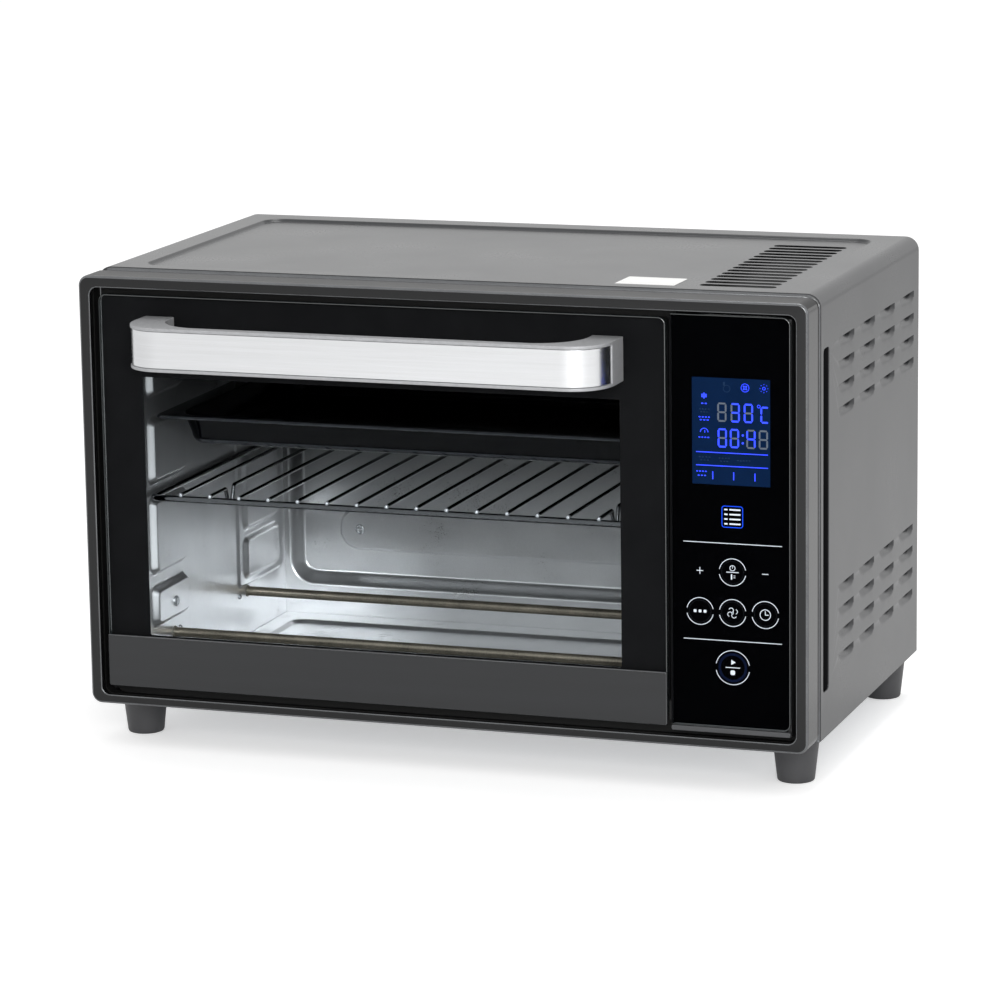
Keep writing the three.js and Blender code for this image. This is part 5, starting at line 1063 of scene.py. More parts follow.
def swept_bar(name, inset, low, high):
    """A solid in the handle's outline seen from above, drawn in by an inset, between two heights."""
    piece = new_piece(name)
    reach, wide = 30 * MM, 27 * MM
    flat("+z", low, *ranges(HANDLE, "xy"))
    pick("VERT", lambda p, n: p.y < HANDLE.y0 + NEAR)
    round_corners(reach, 20, profile=0.54)
    for side in (HANDLE.x0, HANDLE.x1):
        pick("VERT", lambda p, n: abs(p.x - side) < reach + NEAR and p.y < HANDLE.y1 - NEAR)
        bpy.ops.transform.resize(value=(wide / reach, 1, 1), center_override=(side, HANDLE.y0, low))
    pick("FACE", lambda p, n: True)
    if inset:
        sink([(inset, 0)])
        bpy.ops.mesh.select_all(action="INVERT")
        bpy.ops.mesh.delete(type="FACE")
        pick("VERT", lambda p, n: p.y > HANDLE.y1 - inset - NEAR)
        bpy.ops.transform.translate(value=(0, inset, 0))
        pick("FACE", lambda p, n: True)
    pull((0, 0, high - low))
    close_rims(lambda p: abs(p.z - low) < NEAR)
    bpy.ops.object.mode_set(mode="OBJECT")
    return piece


def tool(name, low, high, axis=None, corner=0.0, steps=6):
    """A block that other pieces are cut with."""
    piece = new_piece(name)
    block(low, high, axis, corner, steps)
    bpy.ops.object.mode_set(mode="OBJECT")
    return piece


class OVEN_OT_handle(Builds, bpy.types.Operator):
    """Handle bar with swept ends, and the bright strip let into its front"""

    bl_idname = "oven.handle"
    bl_label = "Handle"

    def build(self):
        edge, reach, past = 2.1 * MM, 24 * MM, 10 * MM
        low, high = HANDLE.z0 + edge, HANDLE.z1 - edge
        piece = swept_bar("handle_bar", 0, HANDLE.z0, HANDLE.z1)
        post, bar = 20 * MM, 8 * MM
        grip = tool(
            "grip_tool", (HANDLE.x0 + post, HANDLE.y0 + bar, HANDLE.z0 - past),
            (HANDLE.x1 - post, HANDLE.y1 + 34 * MM, HANDLE.z1 + past), "z", 30 * MM, 14,
        )
        recess = tool(
            "recess_tool", (HANDLE.x0 - past, HANDLE.y0 - past, low),
            (HANDLE.x1 + past, HANDLE.y0 + reach, high),
        )
        carve(recess, swept_bar("core_tool", 2 * MM, low - past, high + past))
        carve(piece, grip, recess)
        soften(piece, 0.45 * MM, 3)
        finish_piece(piece, "satin_metal", "handle_body", smooth=50)
        gap = 0.25 * MM
        strip = swept_bar("handle_bright_strip", 0.7 * MM, low + gap, high - gap)
        behind = tool(
            "behind_tool", (HANDLE.x0 - past, HANDLE.y0 + reach - gap, low - past),
            (HANDLE.x1 + past, HANDLE.y1 + past, high + past),
        )
        carve(strip, swept_bar("core_tool", 1.7 * MM, low - past, high + past), behind)
        soften(strip, 0.15 * MM, 2)
        finish_piece(strip, "brushed_metal", "handle_strip", smooth=50)


# ---------------------------------------------------------------- control panel
PANEL_MIDDLE = (PANEL.x0 + PANEL.x1) / 2
DISPLAY = box_of("display_module")
STROKE = 0.46 * MM
SEGMENT_THICK = 0.02 * MM


def printed(piece, name, thickness=0.03 * MM):
    """Gives drawn marks their thickness and their ink or light."""
    thicken(piece, thickness)
    finish_piece(piece, name, body="oven", smooth=180)


def dashes(x, z, at, places):
    """Adds dashes round a point; each is its offset across and up and its size, in mm."""
    for right, up, wide, high in places:
        dash(x + right * MM, z + up * MM, wide * MM, high * MM, at)


def around(x, z, out, count, first):
    """Places on a circle about a point, each with its angle."""
    for k in range(count):
        turn = 2 * math.pi / count * k + first
        yield x + out * math.cos(turn), z + out * math.sin(turn), turn


def dash(x, z, wide, high, at):
    """Adds a small upright rectangle with soft corners, centred on a point."""
    soft = 0.3 * min(wide, high)
    flat("-y", at, (x - wide / 2, x + wide / 2), (z - high / 2, z + high / 2), soft, 2)


def arc(x, z, radius, stroke, at, gaps=(), sides=64):
    """Adds a ring, open where a gap names its middle and half width in degrees."""
    disc((x, at, z), radius, sides, FACINGS["-y"])
    sink([(stroke, 0)])
    bpy.ops.mesh.delete(type="FACE")
    for middle, half in gaps:
        way = Vector((math.cos(math.radians(middle)), 0, math.sin(math.radians(middle))))
        limit = math.cos(math.radians(half))

        def in_gap(p, n, way=way, limit=limit):
            away = Vector((p.x - x, 0, p.z - z))
            return radius - 2 * stroke < away.length < radius + NEAR and away.normalized().dot(way) > limit

        if pick("FACE", in_gap):
            bpy.ops.mesh.delete(type="FACE")


SEGMENT_PLACES = {  # across, up, upright?
    "a": (0, 1, False), "b": (0.5, 0.5, True), "c": (0.5, -0.5, True), "d": (0, -1, False),
    "e": (-0.5, -0.5, True), "f": (-0.5, 0.5, True), "g": (0, 0, False),
}


def segment(x, z, long, thick, upright, at):
    """Adds one segment of a digit: a bar with pointed ends."""
    a, b = (thick, long) if upright else (long, thick)
    flat("-y", at, (x - a / 2, x + a / 2), (z - b / 2, z + b / 2))
    round_corners(thick * 0.42, 1)


def digit(x, z, wide, high, segments, at):
    """Adds the named segments of a seven-segment digit centred on a point."""
    thick = 1.1 * MM
    for name in segments:
        across, up, upright = SEGMENT_PLACES[name]
        long = (high / 2 if upright else wide) - 1.1 * thick
        segment(x + across * (wide - thick), z + up * (high - thick) / 2, long, thick, upright, at)


class OVEN_OT_panel(Builds, bpy.types.Operator):
    """Cover glass of the control panel with its ink, its printed keys and the strip below"""

    bl_idname = "oven.control_panel"
    bl_label = "Control panel"

    def build(self):
        glass = new_piece("control_cover_glass")
        slab(PANEL, 5 * MM, 0.5 * MM, left_corner=1 * MM)
        finish_piece(glass, "panel_pane", "panel_glass")
        grind(glass)
        # Painted shade: the glass's left-facing edges get the black ink, so that they draw no line of light.
        second_finish(glass, "black_print", lambda p, n: n.x < -0.1)
        self.ink()
        self.keys()
        strip = new_piece("control_lower_strip")
        box = box_of("panel_strip")
        slab(box, 1.2 * MM, 0.5 * MM, 4)
        finish_piece(strip, "strip_paint", "panel_strip")

    def ink(self):
        piece = new_piece("control_black_ink")
        at, margin = PANEL.y1 + 0.24 * MM, 0.5 * MM
        across, up = ranges(PANEL, "xz", margin)
        flat("-y", at, across, up)
        pick("VERT", lambda p, n: p.x > across[1] - NEAR)
        round_corners(4.5 * MM, 8)
        pick("FACE", lambda p, n: True)
        open_face()
        flat("-y", at, *ranges(DISPLAY, "xz"))
        open_face()
        fill_flat("y", at)
        thicken(piece, 0.1 * MM)
        finish_piece(piece, "panel_print", body="oven")

    def keys(self):
        """Printed keys: two rules, a list key, plus and minus, five rings and their signs."""
        at = PANEL.y1 + 0.06 * MM
        white = new_piece("control_key_print")
        middle = PANEL_MIDDLE + 0.7 * MM
        base = PANEL.z0
        side, stroke = 21 * MM, STROKE / MM
        dashes(middle, base, at, ((0, 117, 63.4, stroke), (0, 55.2, 63.4, stroke)))
        top = base + 133.9 * MM
        for row in range(4):
            z = 4.5 - 3 * row
            dashes(middle, top, at, ((-4.1, z, 2.2, 1.0), (1.7, z, 7.2, 1.0)))
        gaps = ((0, 11), (180, 11))
        row1, row2, row3 = base + 98.9 * MM, base + 73.1 * MM, base + 38.2 * MM
        rings = ((middle, row1), (middle - side, row2), (middle, row2), (middle + side, row2))
        dashes(middle, row1, at, ((-21, 0, 4.3, stroke), (-21, 0, stroke, 4.3), (21, 0, 4.1, stroke)))
        for x, z in rings:
            arc(x, z, 8.8 * MM, STROKE, at, gaps)
        arc(middle, row3, 11.1 * MM, STROKE, at, gaps)
        self.signs(middle, side, (row1, row2, row3), at)
        printed(white, "light_print")
        dim = new_piece("control_key_halo")
        for x, z in rings:
            arc(x, z, 7.3 * MM, 0.5 * MM, at)
        printed(dim, "dim_ink")
        blue = new_piece("control_key_blue")
        half = 6.9 * MM
        flat("-y", at, (middle - half, middle + half), (top - half, top + half), 1.8 * MM, 5)
        sink([(0.5 * MM, 0)])
        bpy.ops.mesh.delete(type="FACE")
        printed(blue, "icon_blue")
        glow = new_piece("control_start_halo")
        arc(middle, row3, 9.3 * MM, 1.6 * MM, at)
        printed(glow, "dim_blue")

    def signs(self, middle, side, rows, at):
        """Plain signs in the rings: a dial over bars, three dots, a fan, a clock, play and stop."""
        row1, row2, row3 = rows
        arc(middle, row1 + 2.6 * MM, 1.9 * MM, 0.45 * MM, at, sides=24)
        bars = (
            (0, 3.2, 0.4, 1.5), (0, 0, 8, 0.5), (-0.6, -2.9, 0.9, 3.4),
            (1.2, -2.2, 1.2, 0.45), (1.2, -3.4, 1.2, 0.45),
        )
        dashes(middle, row1, at, bars)
        dashes(middle - side, row2, at, [((k - 1) * 3.2, 0, 1.9, 1.9) for k in range(3)])
        for x, z, turn in around(middle, row2, 1.9 * MM, 4, 0.5):
            arc(x, z, 1.7 * MM, 0.45 * MM, at, ((math.degrees(turn) + 120, 70),), sides=20)
        arc(middle, row2, 0.8 * MM, 0.4 * MM, at, sides=16)
        arc(middle + side, row2, 3.6 * MM, 0.5 * MM, at, sides=40)
        dashes(middle + side, row2, at, ((0, 1.1, 0.5, 2.6), (1.0, 0, 2.2, 0.5)))
        dashes(middle, row3, at, ((0, 0, 9.4, 0.5), (0, -3.2, 3, 3)))
        disc((middle, at, row3 + 3.4 * MM), 1.9 * MM, 3, (math.pi / 2, math.pi / 2, 0))


class OVEN_OT_display(Builds, bpy.types.Operator):
    """Display: its back-lit field, and the lit and unlit segments over it"""

    bl_idname = "oven.display"
    bl_label = "Display"

    def build(self):
        back = new_piece("display_field")
        slab(DISPLAY, 0.6 * MM, 0.1 * MM, 2)
        finish_piece(back, "display_back", "display_module")
        at = DISPLAY.y0 - 0.05 * MM
        lit = new_piece("display_lit_segments")
        self.figures(at, True)
        self.marks(at, True)
        printed(lit, "display_lit", SEGMENT_THICK)
        unlit = new_piece("display_unlit_segments")
        self.figures(at, False)
        printed(unlit, "display_unlit", SEGMENT_THICK)
        faint = new_piece("display_faint_marks")
        self.marks(at, False)
        printed(faint, "display_faint", SEGMENT_THICK)

    def spot(self, across, down):
        """A place on the display, from its upper left corner, in mm."""
        return DISPLAY.x0 + across * MM, DISPLAY.z1 - down * MM

    def figures(self, at, lit):
        """The two rows of digits: lit segments, or the rest."""
        shown = {"3": "abcdg", "0": "abcdef", "4": "bcfg", " ": ""}
        rows = (
            (21.4, ((19.2, " "), (27.7, "3"), (36.1, "0"))),
            (37.5, ((19.4, "0"), (27.2, "0"), (37.7, "4"), (45.6, " "))),
        )
        for down, places in rows:
            for across, figure in places:
                on = set(shown[figure])
                names = on if lit else set("abcdefg") - on
                digit(*self.spot(across, down), 5.9 * MM, 12 * MM, sorted(names), at)

    def marks(self, at, lit):
        """Signs and rules beside the digits: lit ones, or the faint ones."""
        if lit:
            x, z = self.spot(46.6, 22)
            for name in "adef":
                across, up, upright = SEGMENT_PLACES[name]
                segment(x + across * 4.6 * MM, z + up * 4.7 * MM, 4.1 * MM, 1.1 * MM, upright, at)
            arc(*self.spot(42.7, 16.8), 1.1 * MM, 0.4 * MM, at, sides=20)
            for down in (35.3, 40.2):
                dash(*self.spot(32.5, down), 1.3 * MM, 1.3 * MM, at)
            for down in (46.8, 55.1):
                dash(*self.spot(25.5, down), 46 * MM, 0.55 * MM, at)
            for across in (13.2, 26.6, 40.2):
                dash(*self.spot(across, 61.2), 0.65 * MM, 5 * MM, at)
            self.fan(*self.spot(34, 5.6), at)
            self.lamp(*self.spot(46.0, 5.5), at)
            self.flame(*self.spot(7.8, 11.5), at)
            arc(*self.spot(7.8, 34.4), 2.7 * MM, 0.5 * MM, at, ((-90, 85),), sides=32)
            dash(*self.spot(8.2, 33.9), 0.5 * MM, 1.6 * MM, at)
            labels = (
                (7.8, 16.4, 4.6), (7.9, 24.9, 8), (7.9, 26.7, 6.6), (7.6, 37.6, 7.6),
                (6.0, 59.0, 7.4), (6.2, 61.6, 6.2),
            )
        else:
            arc(*self.spot(22.3, 6.6), 2.3 * MM, 0.35 * MM, at, sides=24)
            dash(*self.spot(20.6, 3.6), 1.2 * MM, 2.4 * MM, at)
            labels = (
                (7.9, 19.9, 7.4), (7.9, 21.7, 5.6), (8.0, 50.0, 8.4), (8.0, 51.9, 6.2),
                (20.5, 50.2, 8), (20.5, 52.1, 6), (33, 51.2, 9.4),
            )
        for across, down, wide in labels:
            x, z = self.spot(across, down)
            pieces = max(2, round(wide / 1.9))
            for k in range(pieces):
                step = wide * MM / pieces
                dash(x + (k - (pieces - 1) / 2) * step, z, step * 0.62, 0.75 * MM, at)

    def fan(self, x, z, at):
        arc(x, z, 2.7 * MM, 0.35 * MM, at, sides=24)
        for right, up, _ in around(x, z, 1.1 * MM, 4, math.pi / 4):
            dash(right, up, 1.1 * MM, 1.1 * MM, at)

    def lamp(self, x, z, at):
        arc(x, z, 1.1 * MM, 0.35 * MM, at, sides=20)
        for right, up, _ in around(x, z, 2.5 * MM, 8, 0):
            dash(right, up, 0.5 * MM, 0.5 * MM, at)

    def flame(self, x, z, at):
        dashes(x, z, at, ((-1.2, 0, 0.9, 2.2), (0, 0, 0.9, 3.6), (1.2, 0, 0.9, 2.2)))


# ---------------------------------------------------------------- cavity
LEFT_WALL, RIGHT_WALL = box_of("cavity_left_wall"), box_of("cavity_right_wall")
BACK_WALL, ROOF, PAN = box_of("cavity_back_wall"), box_of("cavity_roof"), box_of("cavity_floor")
PAD_RISE, POCKET_DEEP, PAN_DEEP = 4.5 * MM, 9.5 * MM, 2.4 * MM
PAD_ROUND, PAD_SLOPE = 7 * MM, 5 * MM
# Where the columns of pads, and the raised strip under the rear one, begin and end in depth.
FRONT_COLUMN = (FRONT + 24.8 * MM, FRONT + 83 * MM)
REAR_COLUMN = (FRONT + 178 * MM, FRONT + 243 * MM)
RAISED_STRIP = (FRONT + 171 * MM, FRONT + 254 * MM)
FAN_SLOTS, FAN_SLOTS_OUT = 12, 20.5 * MM  # slots in the fan's grille, and how far out they lie
# The pressed pads of each side wall in its two columns: the heights of their lower and upper edges, in mm.
FRONT_PADS = ((73, 102), (108, 161.5), (168.5, 214), (226, 270))
REAR_PADS = ((72, 104), (106.5, 161.5), (168.5, 214), (226, 258))
SHEET = 1 * MM
AXES = {"x": Vector((1, 0, 0)), "y": Vector((0, 1, 0))}
WALLS = ((LEFT_WALL.x1 - PAD_RISE, 1), (RIGHT_WALL.x0 + PAD_RISE, -1))  # where each lies, its way inwards


def cross_screw(x, y, z, axis, side, radius=3 * MM):
    """Adds a pan-head screw with a cross cut, standing on a wall and facing along an axis."""
    facing = ("+" if side > 0 else "-") + axis
    disc((x, y, z), radius, 24, FACINGS[facing])
    pull(side * 0.9 * MM * AXES[axis])
    sink([(0.35 * MM, 0.45 * MM), (0.5 * MM, 0.3 * MM), (0.5 * MM, 0.1 * MM)])


def cross_cut(piece, x, y, z, axis, radius=3 * MM):
    """Cuts the cross of a screw head."""
    long, wide, deep = radius * 1.15, 0.75 * MM, 1.1 * MM
    for a, b in ((long, wide), (wide, long)):
        half = Vector((deep, a / 2, b / 2) if axis == "x" else (a / 2, deep, b / 2))
        here = Vector((x, y, z))
        carve(piece, tool("cross_tool", here - half, here + half))


def outline(name, facing, at, ranges_of):
    """A new piece that so far is only the outline of a sheet."""
    piece = new_piece(name)
    flat(facing, at, *ranges_of)
    open_face()
    return piece


class OVEN_OT_cavity(Builds, bpy.types.Operator):
    """Oven cavity: pressed side walls, back wall, roof and floor pan with their screws"""

    bl_idname = "oven.cavity"
    bl_label = "Cavity"

    def build(self):
        for place, (face, side) in zip(("left", "right"), WALLS):
            self.side_wall(f"cavity_{place}_sheet", face, side, f"cavity_{place}_wall")
        self.back_wall()
        self.floor_pan()
        low = ROOF.z0
        roof = outline("cavity_roof_sheet", "-z", low, ranges(ROOF, "xy"))
        edge = 22 * MM
        flat("-z", low, *ranges(ROOF, "xy", edge), 14 * MM, 6)
        sink(soft_step(4 * MM, -0.6 * MM, 5))
        fill_flat("z", low)
        thicken(roof, 0.4 * MM)
        finish_piece(roof, "aluminised", "cavity_roof", smooth=40)
        self.screws()

    def side_wall(self, name, face, side, node):
        """A side wall seen from inside: its pads stand inwards in two columns."""
        facing = "+x" if side > 0 else "-x"
        piece = outline(name, facing, face, ranges(box_of(node), "yz"))
        for low, high in FRONT_PADS:
            flat(facing, face, FRONT_COLUMN, (low * MM, high * MM), PAD_ROUND, 6)
            sink(soft_step(PAD_SLOPE, PAD_RISE, 8))
        rise = 1.6 * MM
        flat(facing, face, RAISED_STRIP, (67 * MM, 266 * MM), 6 * MM, 5)
        sink(soft_step(3 * MM, rise, 6))
        open_face()
        raised = face + side * rise
        for low, high in REAR_PADS:
            flat(facing, raised, REAR_COLUMN, (low * MM, high * MM), PAD_ROUND, 6)
            sink(soft_step(PAD_SLOPE, PAD_RISE - rise, 8))
        if side < 0:
            _, y, z = middle_of(box_of("fan_housing"))
            for k in range(FAN_SLOTS):
                turn = 2 * math.pi / FAN_SLOTS * k
                away = Vector((0, math.cos(turn), math.sin(turn)))
                middle = Vector((face, y, z)) + away * FAN_SLOTS_OUT
                across = (middle.y - 2.25 * MM, middle.y + 2.25 * MM)
                up = (middle.z - 7.5 * MM, middle.z + 7.5 * MM)
                flat(facing, face, across, up, 2.1 * MM, 4)
                bpy.ops.transform.rotate(value=math.pi / 2 - turn, orient_axis="X", center_override=middle)
                open_face()
        fill_flat("x", face)
        fill_flat("x", raised)
        thicken(piece, SHEET)
        finish_piece(piece, "aluminised", node, smooth=50)

    def back_wall(self):
        """The back wall with its pressed pocket, and the oblong boss in that."""
        face = BACK_WALL.y0
        piece = outline("cavity_back_sheet", "-y", face, ranges(BACK_WALL, "xz"))
        pocket = ((BACK_WALL.x0 + 3.8 * MM, BACK_WALL.x1 - 3.8 * MM), (53 * MM, 271 * MM))
        flat("-y", face, *pocket, 18 * MM, 10)
        sink(soft_step(10 * MM, -POCKET_DEEP, 10))
        open_face()
        low = face + POCKET_DEEP
        flat("-y", low, (-170.8 * MM, 106 * MM), (78.2 * MM, 109.4 * MM), 14.5 * MM, 10)
        sink(soft_step(2.8 * MM, 2.2 * MM, 6))
        fill_flat("y", face)
        fill_flat("y", low)
        thicken(piece, SHEET)
        finish_piece(piece, "aluminised_back", "cavity_back_wall", smooth=50)

    def floor_pan(self):
        """The drawn floor pan with its two round bosses."""
        face = PAN.z1
        piece = outline("cavity_floor_pan", "+z", face, ranges(PAN, "xy"))
        across, deep = (PAN.x0 + 12 * MM, PAN.x1 - 12 * MM), (PAN.y0 + 24 * MM, PAN.y1 - 18 * MM)
        flat("+z", face, across, deep, 10 * MM, 8)
        sink(soft_step(5 * MM, -PAN_DEEP, 6))
        open_face()
        low = face - PAN_DEEP
        for x, y in ((-158, 200), (93, 200)):
            disc((x * MM, FRONT + y * MM, low), 8 * MM, 32)
            sink(soft_step(2.4 * MM, 1.2 * MM, 5))
        fill_flat("z", face)
        fill_flat("z", low)
        thicken(piece, 0.5 * MM)
        finish_piece(piece, "aluminised", "cavity_floor", smooth=50)

    def screws(self):
        """Screws and rivets that hold the walls: visible heads only."""
        piece = new_piece("cavity_screws")
        heads = [(wall + side * PAD_RISE, FRONT + 55 * MM, 86.4 * MM, "x", side) for wall, side in WALLS]
        heads += [(x * MM, BACK_WALL.y0 + 8.2 * MM, 93.8 * MM, "y", -1) for x in (-154.8, 90)]
        for head in heads:
            cross_screw(*head, 3.6 * MM)
        for wall, _ in WALLS:
            for y, z in ((174, 62.4), (70.3, 64.6)):
                bpy.ops.mesh.primitive_uv_sphere_add(
                    segments=16, ring_count=8, radius=1.9 * MM, location=(wall, FRONT + y * MM, z * MM)
                )
        for x, y, z, axis, side in heads:
            cut = Vector((x, y, z)) + side * 1.9 * MM * AXES[axis]
            cross_cut(piece, *cut, axis, 3.6 * MM)
        finish_piece(piece, "bright_weld", body="oven", smooth=35)


class OVEN_OT_heaters(Builds, bpy.types.Operator):
    """Four heater tubes with their ceramic collars"""

    bl_idname = "oven.heaters"
    bl_label = "Heaters"

    def build(self):
        for place in ("lower_front", "lower_rear", "upper_front", "upper_rear"):
            node = "element_" + place
            box = box_of(node)
            x, y, z = middle_of(box)
            tube = new_piece("heater_tube_" + place)
            rod("x", 3.2 * MM, (x, y, z), box.x1 - box.x0 - 0.2 * MM, 24)
            soften(tube, 0.6 * MM, 3)
            finish_piece(tube, "heater_sheath", node)
            collars = new_piece("heater_collars_" + place)
            for wall, side in WALLS:
                out, deep = 0.9 * MM, 4 * MM
                rod("x", 4.1 * MM, (wall + side * (out - deep) / 2, y, z), out + deep, 24)
            soften(collars, 0.8 * MM, 2)
            finish_piece(collars, "steatite", body="oven")


class OVEN_OT_lamp(Builds, bpy.types.Operator):
    """Lamp glass with its bulb and the temperature probe"""

    bl_idname = "oven.lamp"
    bl_label = "Lamp and probe"

    def build(self):
        box = box_of("lamp_cover")
        _, y, z = middle_of(box)
        cover = new_piece("lamp_glass")
        radius = (box.z1 - box.z0) / 2
        disc((box.x1, y, z), radius, 48, FACINGS["-x"])
        pull((-5 * MM, 0, 0))
        dome = ((3, 0.4), (1.5, 2.4), (2.5, 2), (4, 1.4), (4, 0.6))
        sink([(inwards * MM, rise * MM) for inwards, rise in dome])
        pick("FACE", lambda p, n: n.x > 0.9)
        bpy.ops.mesh.delete(type="FACE")
        thicken(cover, 1.2 * MM)
        finish_piece(cover, "lamp_pane", "lamp_cover", smooth=60)
        dress("steatite", "lamp_holder")
        dress("lamp_pane", "lamp_bulb")
        dress("satin_metal", "temperature_probe")


# ---------------------------------------------------------------- rack and tray
RACK, TRAY = box_of("wire_rack"), box_of("baking_tray")
RACK_WIRES, DIPPED_WIRES = 16, (2, 15)  # cross wires, and those that dip to stop the rack


def run_wire(points, radius, bend, sides=10, steps=5):
    """Adds a wire through points in one plane, with its corners bent round a radius."""
    points = [Vector(p) for p in points]
    ways = [(b - a).normalized() for a, b in zip(points, points[1:])]
    disc(points[0], radius, sides, ways[0].to_track_quat("Z", "Y").to_euler())
    here = points[0]
    for corner, before, after in zip(points[1:-1], ways, ways[1:]):
        turn = before.angle(after)
        back = bend * math.tan(turn / 2)
        pull(corner - back * before - here)
        across = before.cross(after).normalized()
        middle = corner - back * before + bend * across.cross(before)
        bpy.ops.mesh.spin(steps=steps, angle=-turn, center=middle, axis=across)
        here = corner + back * after
    pull(points[-1] - here)


class OVEN_OT_rack(Builds, bpy.types.Operator):
    """Wire rack: a bent rail round three sides, cross wires and a front brace"""

    bl_idname = "oven.rack"
    bl_label = "Wire rack"

    def build(self):
        piece = new_piece("chrome_rack")
        thin, thick = 1.3 * MM, 2.2 * MM
        x0, x1 = RACK.x0 + thick, RACK.x1 - thick
        y0, y1 = RACK.y0 + thick + 0.2 * MM, RACK.y1 - thick
        level = RACK.z1 - 2 * thin - thick + 0.65 * MM
        wire_level = RACK.z1 - thin
        pitch = (x1 - x0) / (RACK_WIRES + 1)
        loop = [((x0 + x1) / 2, y0), (x0, y0), (x0, y1), (x1, y1), (x1, y0), ((x0 + x1) / 2, y0)]
        run_wire([(x, y, level) for x, y in loop], thick, 4.5 * MM, 14, 6)
        for k in range(1, RACK_WIRES + 1):
            x = x0 + pitch * k
            ends = (y0 - 0.4 * MM, y1 + 0.4 * MM)
            if k in DIPPED_WIRES:
                dip, run = 12 * MM - thin, 4 * MM
                low = wire_level - dip
                start, stop = y0 + 26 * MM, y0 + 32 * MM + 2 * run
                path = [
                    (x, ends[0], wire_level), (x, start, wire_level), (x, start + run, low),
                    (x, stop - run, low), (x, stop, wire_level), (x, ends[1], wire_level),
                ]
                run_wire(path, thin, 2 * MM, 10, 4)
            else:
                rod("y", thin, (x, (ends[0] + ends[1]) / 2, wire_level), ends[1] - ends[0], 10)
        behind, under = y0 + 3.4 * MM, level - 0.6 * MM
        rod("x", thin, ((x0 + x1) / 2, behind, under), x1 - x0, 10)
        merge(0.001 * MM)
        pick("FACE", lambda p, n: abs(p.x - (x0 + x1) / 2) < NEAR and abs(n.x) > 0.99)
        bpy.ops.mesh.delete(type="ONLY_FACE")
        outwards()
        finish_piece(piece, "chrome_wire", "wire_rack", smooth=60)
        beads = new_piece("rack_weld_beads")
        for k in range(1, RACK_WIRES + 1):
            bpy.ops.mesh.primitive_uv_sphere_add(
                segments=10, ring_count=6, radius=1.55 * MM,
                location=(x0 + pitch * k, y0 - 0.6 * MM, wire_level - 0.1 * MM),
            )
        finish_piece(beads, "bright_weld", body="rack", smooth=180)


class OVEN_OT_tray(Builds, bpy.types.Operator):
    """Enamelled baking tray with drafted walls and a rolled rim"""

    bl_idname = "oven.tray"
    bl_label = "Baking tray"

    def build(self):
        piece = new_piece("enamel_tray")
        high = TRAY.z1
        roll = 1.6 * MM
        outline = ranges(TRAY, "xy", roll)
        flat("+z", high, *outline, 8 * MM, 8)
        side, front, draft = 13 * MM - roll, 7 * MM - roll, 4 * MM
        deep = high - 1 * MM - TRAY.z0
        open_face()
        lip_x = (outline[0][0] + side, outline[0][1] - side)
        lip_y = (outline[1][0] + front, outline[1][1] - front)
        flat("+z", high, lip_x, lip_y, 16 * MM, 10)
        foot = 7 * MM
        wall = (deep - 2.4 * MM - foot) / 2
        sink(round_down(2.4 * MM, 4))
        sink([(draft / 2, -wall), (draft / 2, -wall)])
        sink(round_down(foot, 6)[::-1])
        fill_flat("z", high)
        rims = [(roll * 0.6, -roll * 0.25), (roll * 0.4, -roll * 0.75)]
        pick_rims(lambda p: True)
        for out, down in rims:
            pull((0, 0, down))
            middle = ((TRAY.x0 + TRAY.x1) / 2, (TRAY.y0 + TRAY.y1) / 2, high)
            wide, long = TRAY.x1 - TRAY.x0, TRAY.y1 - TRAY.y0
            bpy.ops.transform.resize(
                value=(1 + 2 * out / wide, 1 + 2 * out / long, 1), center_override=middle
            )
        outwards()
        thicken(piece, 0.9 * MM)
        finish_piece(piece, "vitreous_enamel", "baking_tray", smooth=50)

        # Painted highlight: the front of the rim and of the lower rounding get the lighter, glossier enamel.
        def gets_painted_highlight(p, n):
            return n.y < -0.1 and (p.z > high - roll or 0.4 < -n.z < 0.9)

        second_finish(piece, "enamel_edge", gets_painted_highlight)


def round_down(radius, steps):
    """A quarter-round going from a flat face down into a wall, for sink()."""
    angles = [math.pi / 2 * k / steps for k in range(steps + 1)]
    points = [(radius * math.sin(a), -radius * (1 - math.cos(a))) for a in angles]
    return [(b[0] - a[0], b[1] - a[1]) for a, b in zip(points, points[1:])]


# ---------------------------------------------------------------- feet, rear and label
# The foot's radius at each height above the table, in mm.
FOOT_PROFILE = [(10.6, 0.0), (11.4, 0.25), (11.9, 1.0), (12.1, 2.2), (14.6, 24.2), (15.2, 24.9)]


class OVEN_OT_feet(Builds, bpy.types.Operator):
    """Four moulded feet, tapered, with a collar above and a soft pad below"""

    bl_idname = "oven.feet"
    bl_label = "Feet"

    def build(self):
        for node in [n for n in frame["nodes"] if n.startswith("foot")]:
            box = box_of(node)
            x, y = (box.x0 + box.x1) / 2, (box.y0 + box.y1) / 2
            x += math.copysign(2 * MM, x)
            piece = new_piece("moulded_" + node)
            foot = x, y, box.z0
            disc(foot, 11 * MM, 48, FACINGS["-z"])
            profile = [*FOOT_PROFILE, (15.2, (box.z1 - box.z0) / MM)]
            before = profile[0]
            bpy.ops.mesh.select_all(action="SELECT")
            bpy.ops.transform.resize(value=(before[0] / 11,) * 3, center_override=foot)
            for radius, rise in profile[1:]:
                pull((0, 0, (rise - before[1]) * MM))
                share = radius / before[0]
                bpy.ops.transform.resize(value=(share, share, 1), center_override=(x, y, box.z0 + rise * MM))
                before = (radius, rise)
            close_rims(lambda p: p.z < box.z0 + NEAR)
            finish_piece(piece, "foot_polymer", node, smooth=35)


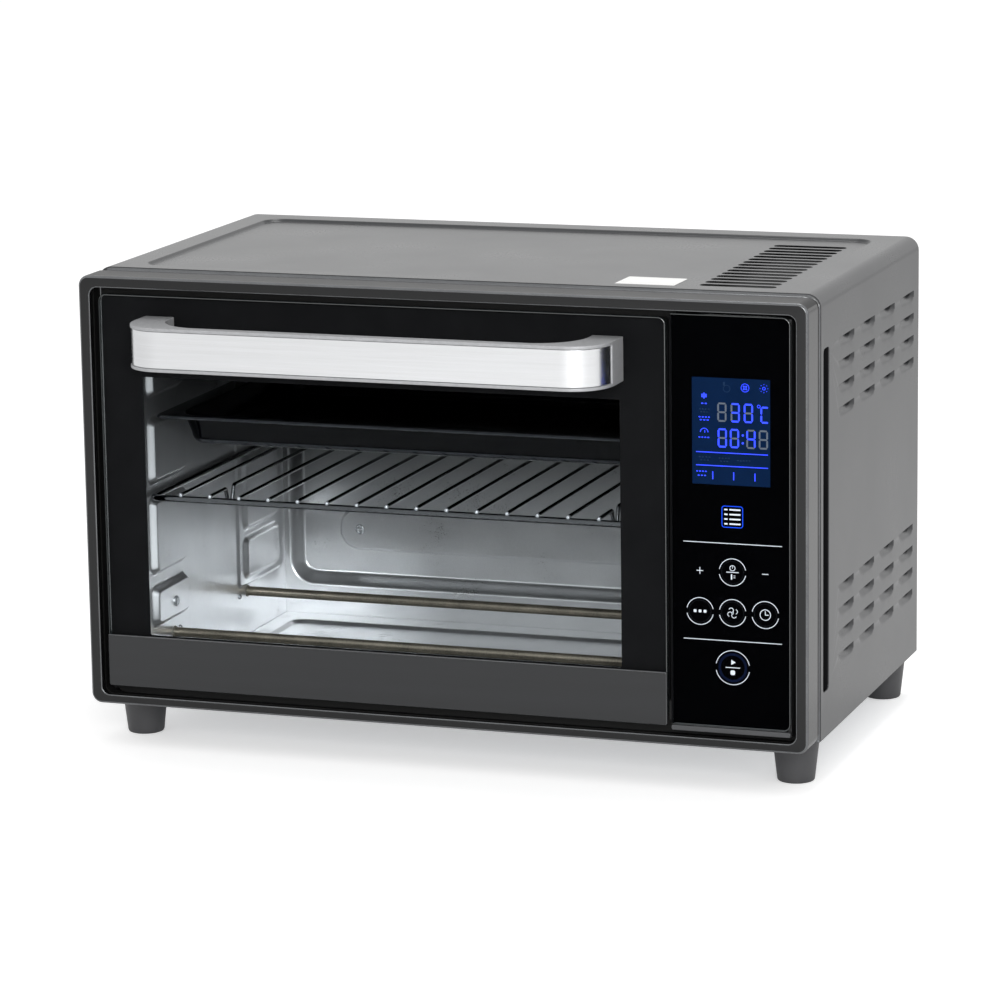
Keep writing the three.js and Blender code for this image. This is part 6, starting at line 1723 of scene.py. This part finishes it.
class OVEN_OT_rear(Builds, bpy.types.Operator):
    """Rear cover with its vents, and its screws"""

    bl_idname = "oven.rear"
    bl_label = "Rear cover"

    def build(self):
        box = box_of("rear_panel")
        dress("powder_coat", "rear_panel")
        for node in [n for n in frame["nodes"] if n.startswith("rear_screw")]:
            screw = box_of(node)
            x, z = (screw.x0 + screw.x1) / 2, (screw.z0 + screw.z1) / 2
            piece = new_piece(node.replace("rear_screw", "cover_screw"))
            head = box.y1 + 0.05 * MM
            rod("y", 2.0 * MM, (x, (screw.y0 + head) / 2, z), head - screw.y0, 16)
            cross_screw(x, head, z, "y", 1, 3.7 * MM)
            cross_cut(piece, x, screw.y1 - 0.1 * MM, z, "y", 3.7 * MM)
            finish_piece(piece, "zinc_plate", node)


class OVEN_OT_label(Builds, bpy.types.Operator):
    """Bare white sticker near the front edge of the top"""

    bl_idname = "oven.label"
    bl_label = "Top label"

    def build(self):
        box = box_of("top_label")
        piece = new_piece("white_sticker")
        bare = 1 * MM
        top = SHELL.z1 - sizes().top_step
        deeper = (box.y0 + 3 * MM, box.y1 + 10 * MM)
        flat("+z", top + 0.05 * MM, (box.x0 - 2 * bare, box.x1 - 4 * bare), deeper, 1.5 * MM, 4)
        middle = ((box.x0 + box.x1) / 2, (box.y0 + box.y1) / 2, top)
        bpy.ops.transform.rotate(value=math.radians(1.2), orient_axis="Z", center_override=middle)
        pull((0, 0, 0.12 * MM))
        close_rims()
        finish_piece(piece, "label_paper", "top_label")


class OVEN_OT_inner_parts(Builds, bpy.types.Operator):
    """Finishes for the parts that keep their frame shape"""

    bl_idname = "oven.inner_parts"
    bl_label = "Inner parts"

    def build(self):
        dress("zinc_plate", "base_plate", "fan_housing", "thermal_cutout")
        dress("zinc_plate", "fan_motor", "handle_screw_left", "handle_screw_right")
        dress("heat_paint", "front_bulkhead", "board_bracket", "hinge_left", "hinge_right")
        dress("aluminised", "fan_blade")
        dress("circuit_board", "touch_board", "power_board")
        dress("nylon", "panel_carrier", "cord_gland", "terminal_block")


# ---------------------------------------------------------------- panel and run
OPERATORS = Builds.__subclasses__()  # in the order they stand in above, which is the order they run in


class OVEN_PT_pieces(bpy.types.Panel):
    """Lists the pieces, each with the button that builds it"""

    bl_label = "Toaster oven"
    bl_idname = "OVEN_PT_pieces"
    bl_space_type = "VIEW_3D"
    bl_region_type = "UI"
    bl_category = "Oven"

    def draw(self, context):
        for operator in OPERATORS:
            self.layout.operator(operator.bl_idname)
        for group in (context.scene.oven_sizes, context.scene.oven_colours):
            for name in group.bl_rna.properties.keys():
                if name not in ("rna_type", "name"):
                    self.layout.prop(group, name)


def register():
    for item in (OVEN_PG_sizes, OVEN_PG_colours, *OPERATORS, OVEN_PT_pieces):
        bpy.utils.register_class(item)
    bpy.types.Scene.oven_sizes = bpy.props.PointerProperty(type=OVEN_PG_sizes)
    bpy.types.Scene.oven_colours = bpy.props.PointerProperty(type=OVEN_PG_colours)


def unregister():
    del bpy.types.Scene.oven_sizes, bpy.types.Scene.oven_colours
    for item in (OVEN_PT_pieces, *reversed(OPERATORS), OVEN_PG_colours, OVEN_PG_sizes):
        bpy.utils.unregister_class(item)


def main():
    """Builds every piece in order."""
    register()
    for operator in OPERATORS:
        group, name = operator.bl_idname.split(".")
        getattr(getattr(bpy.ops, group), name)()


if __name__ == "__main__":
    main()
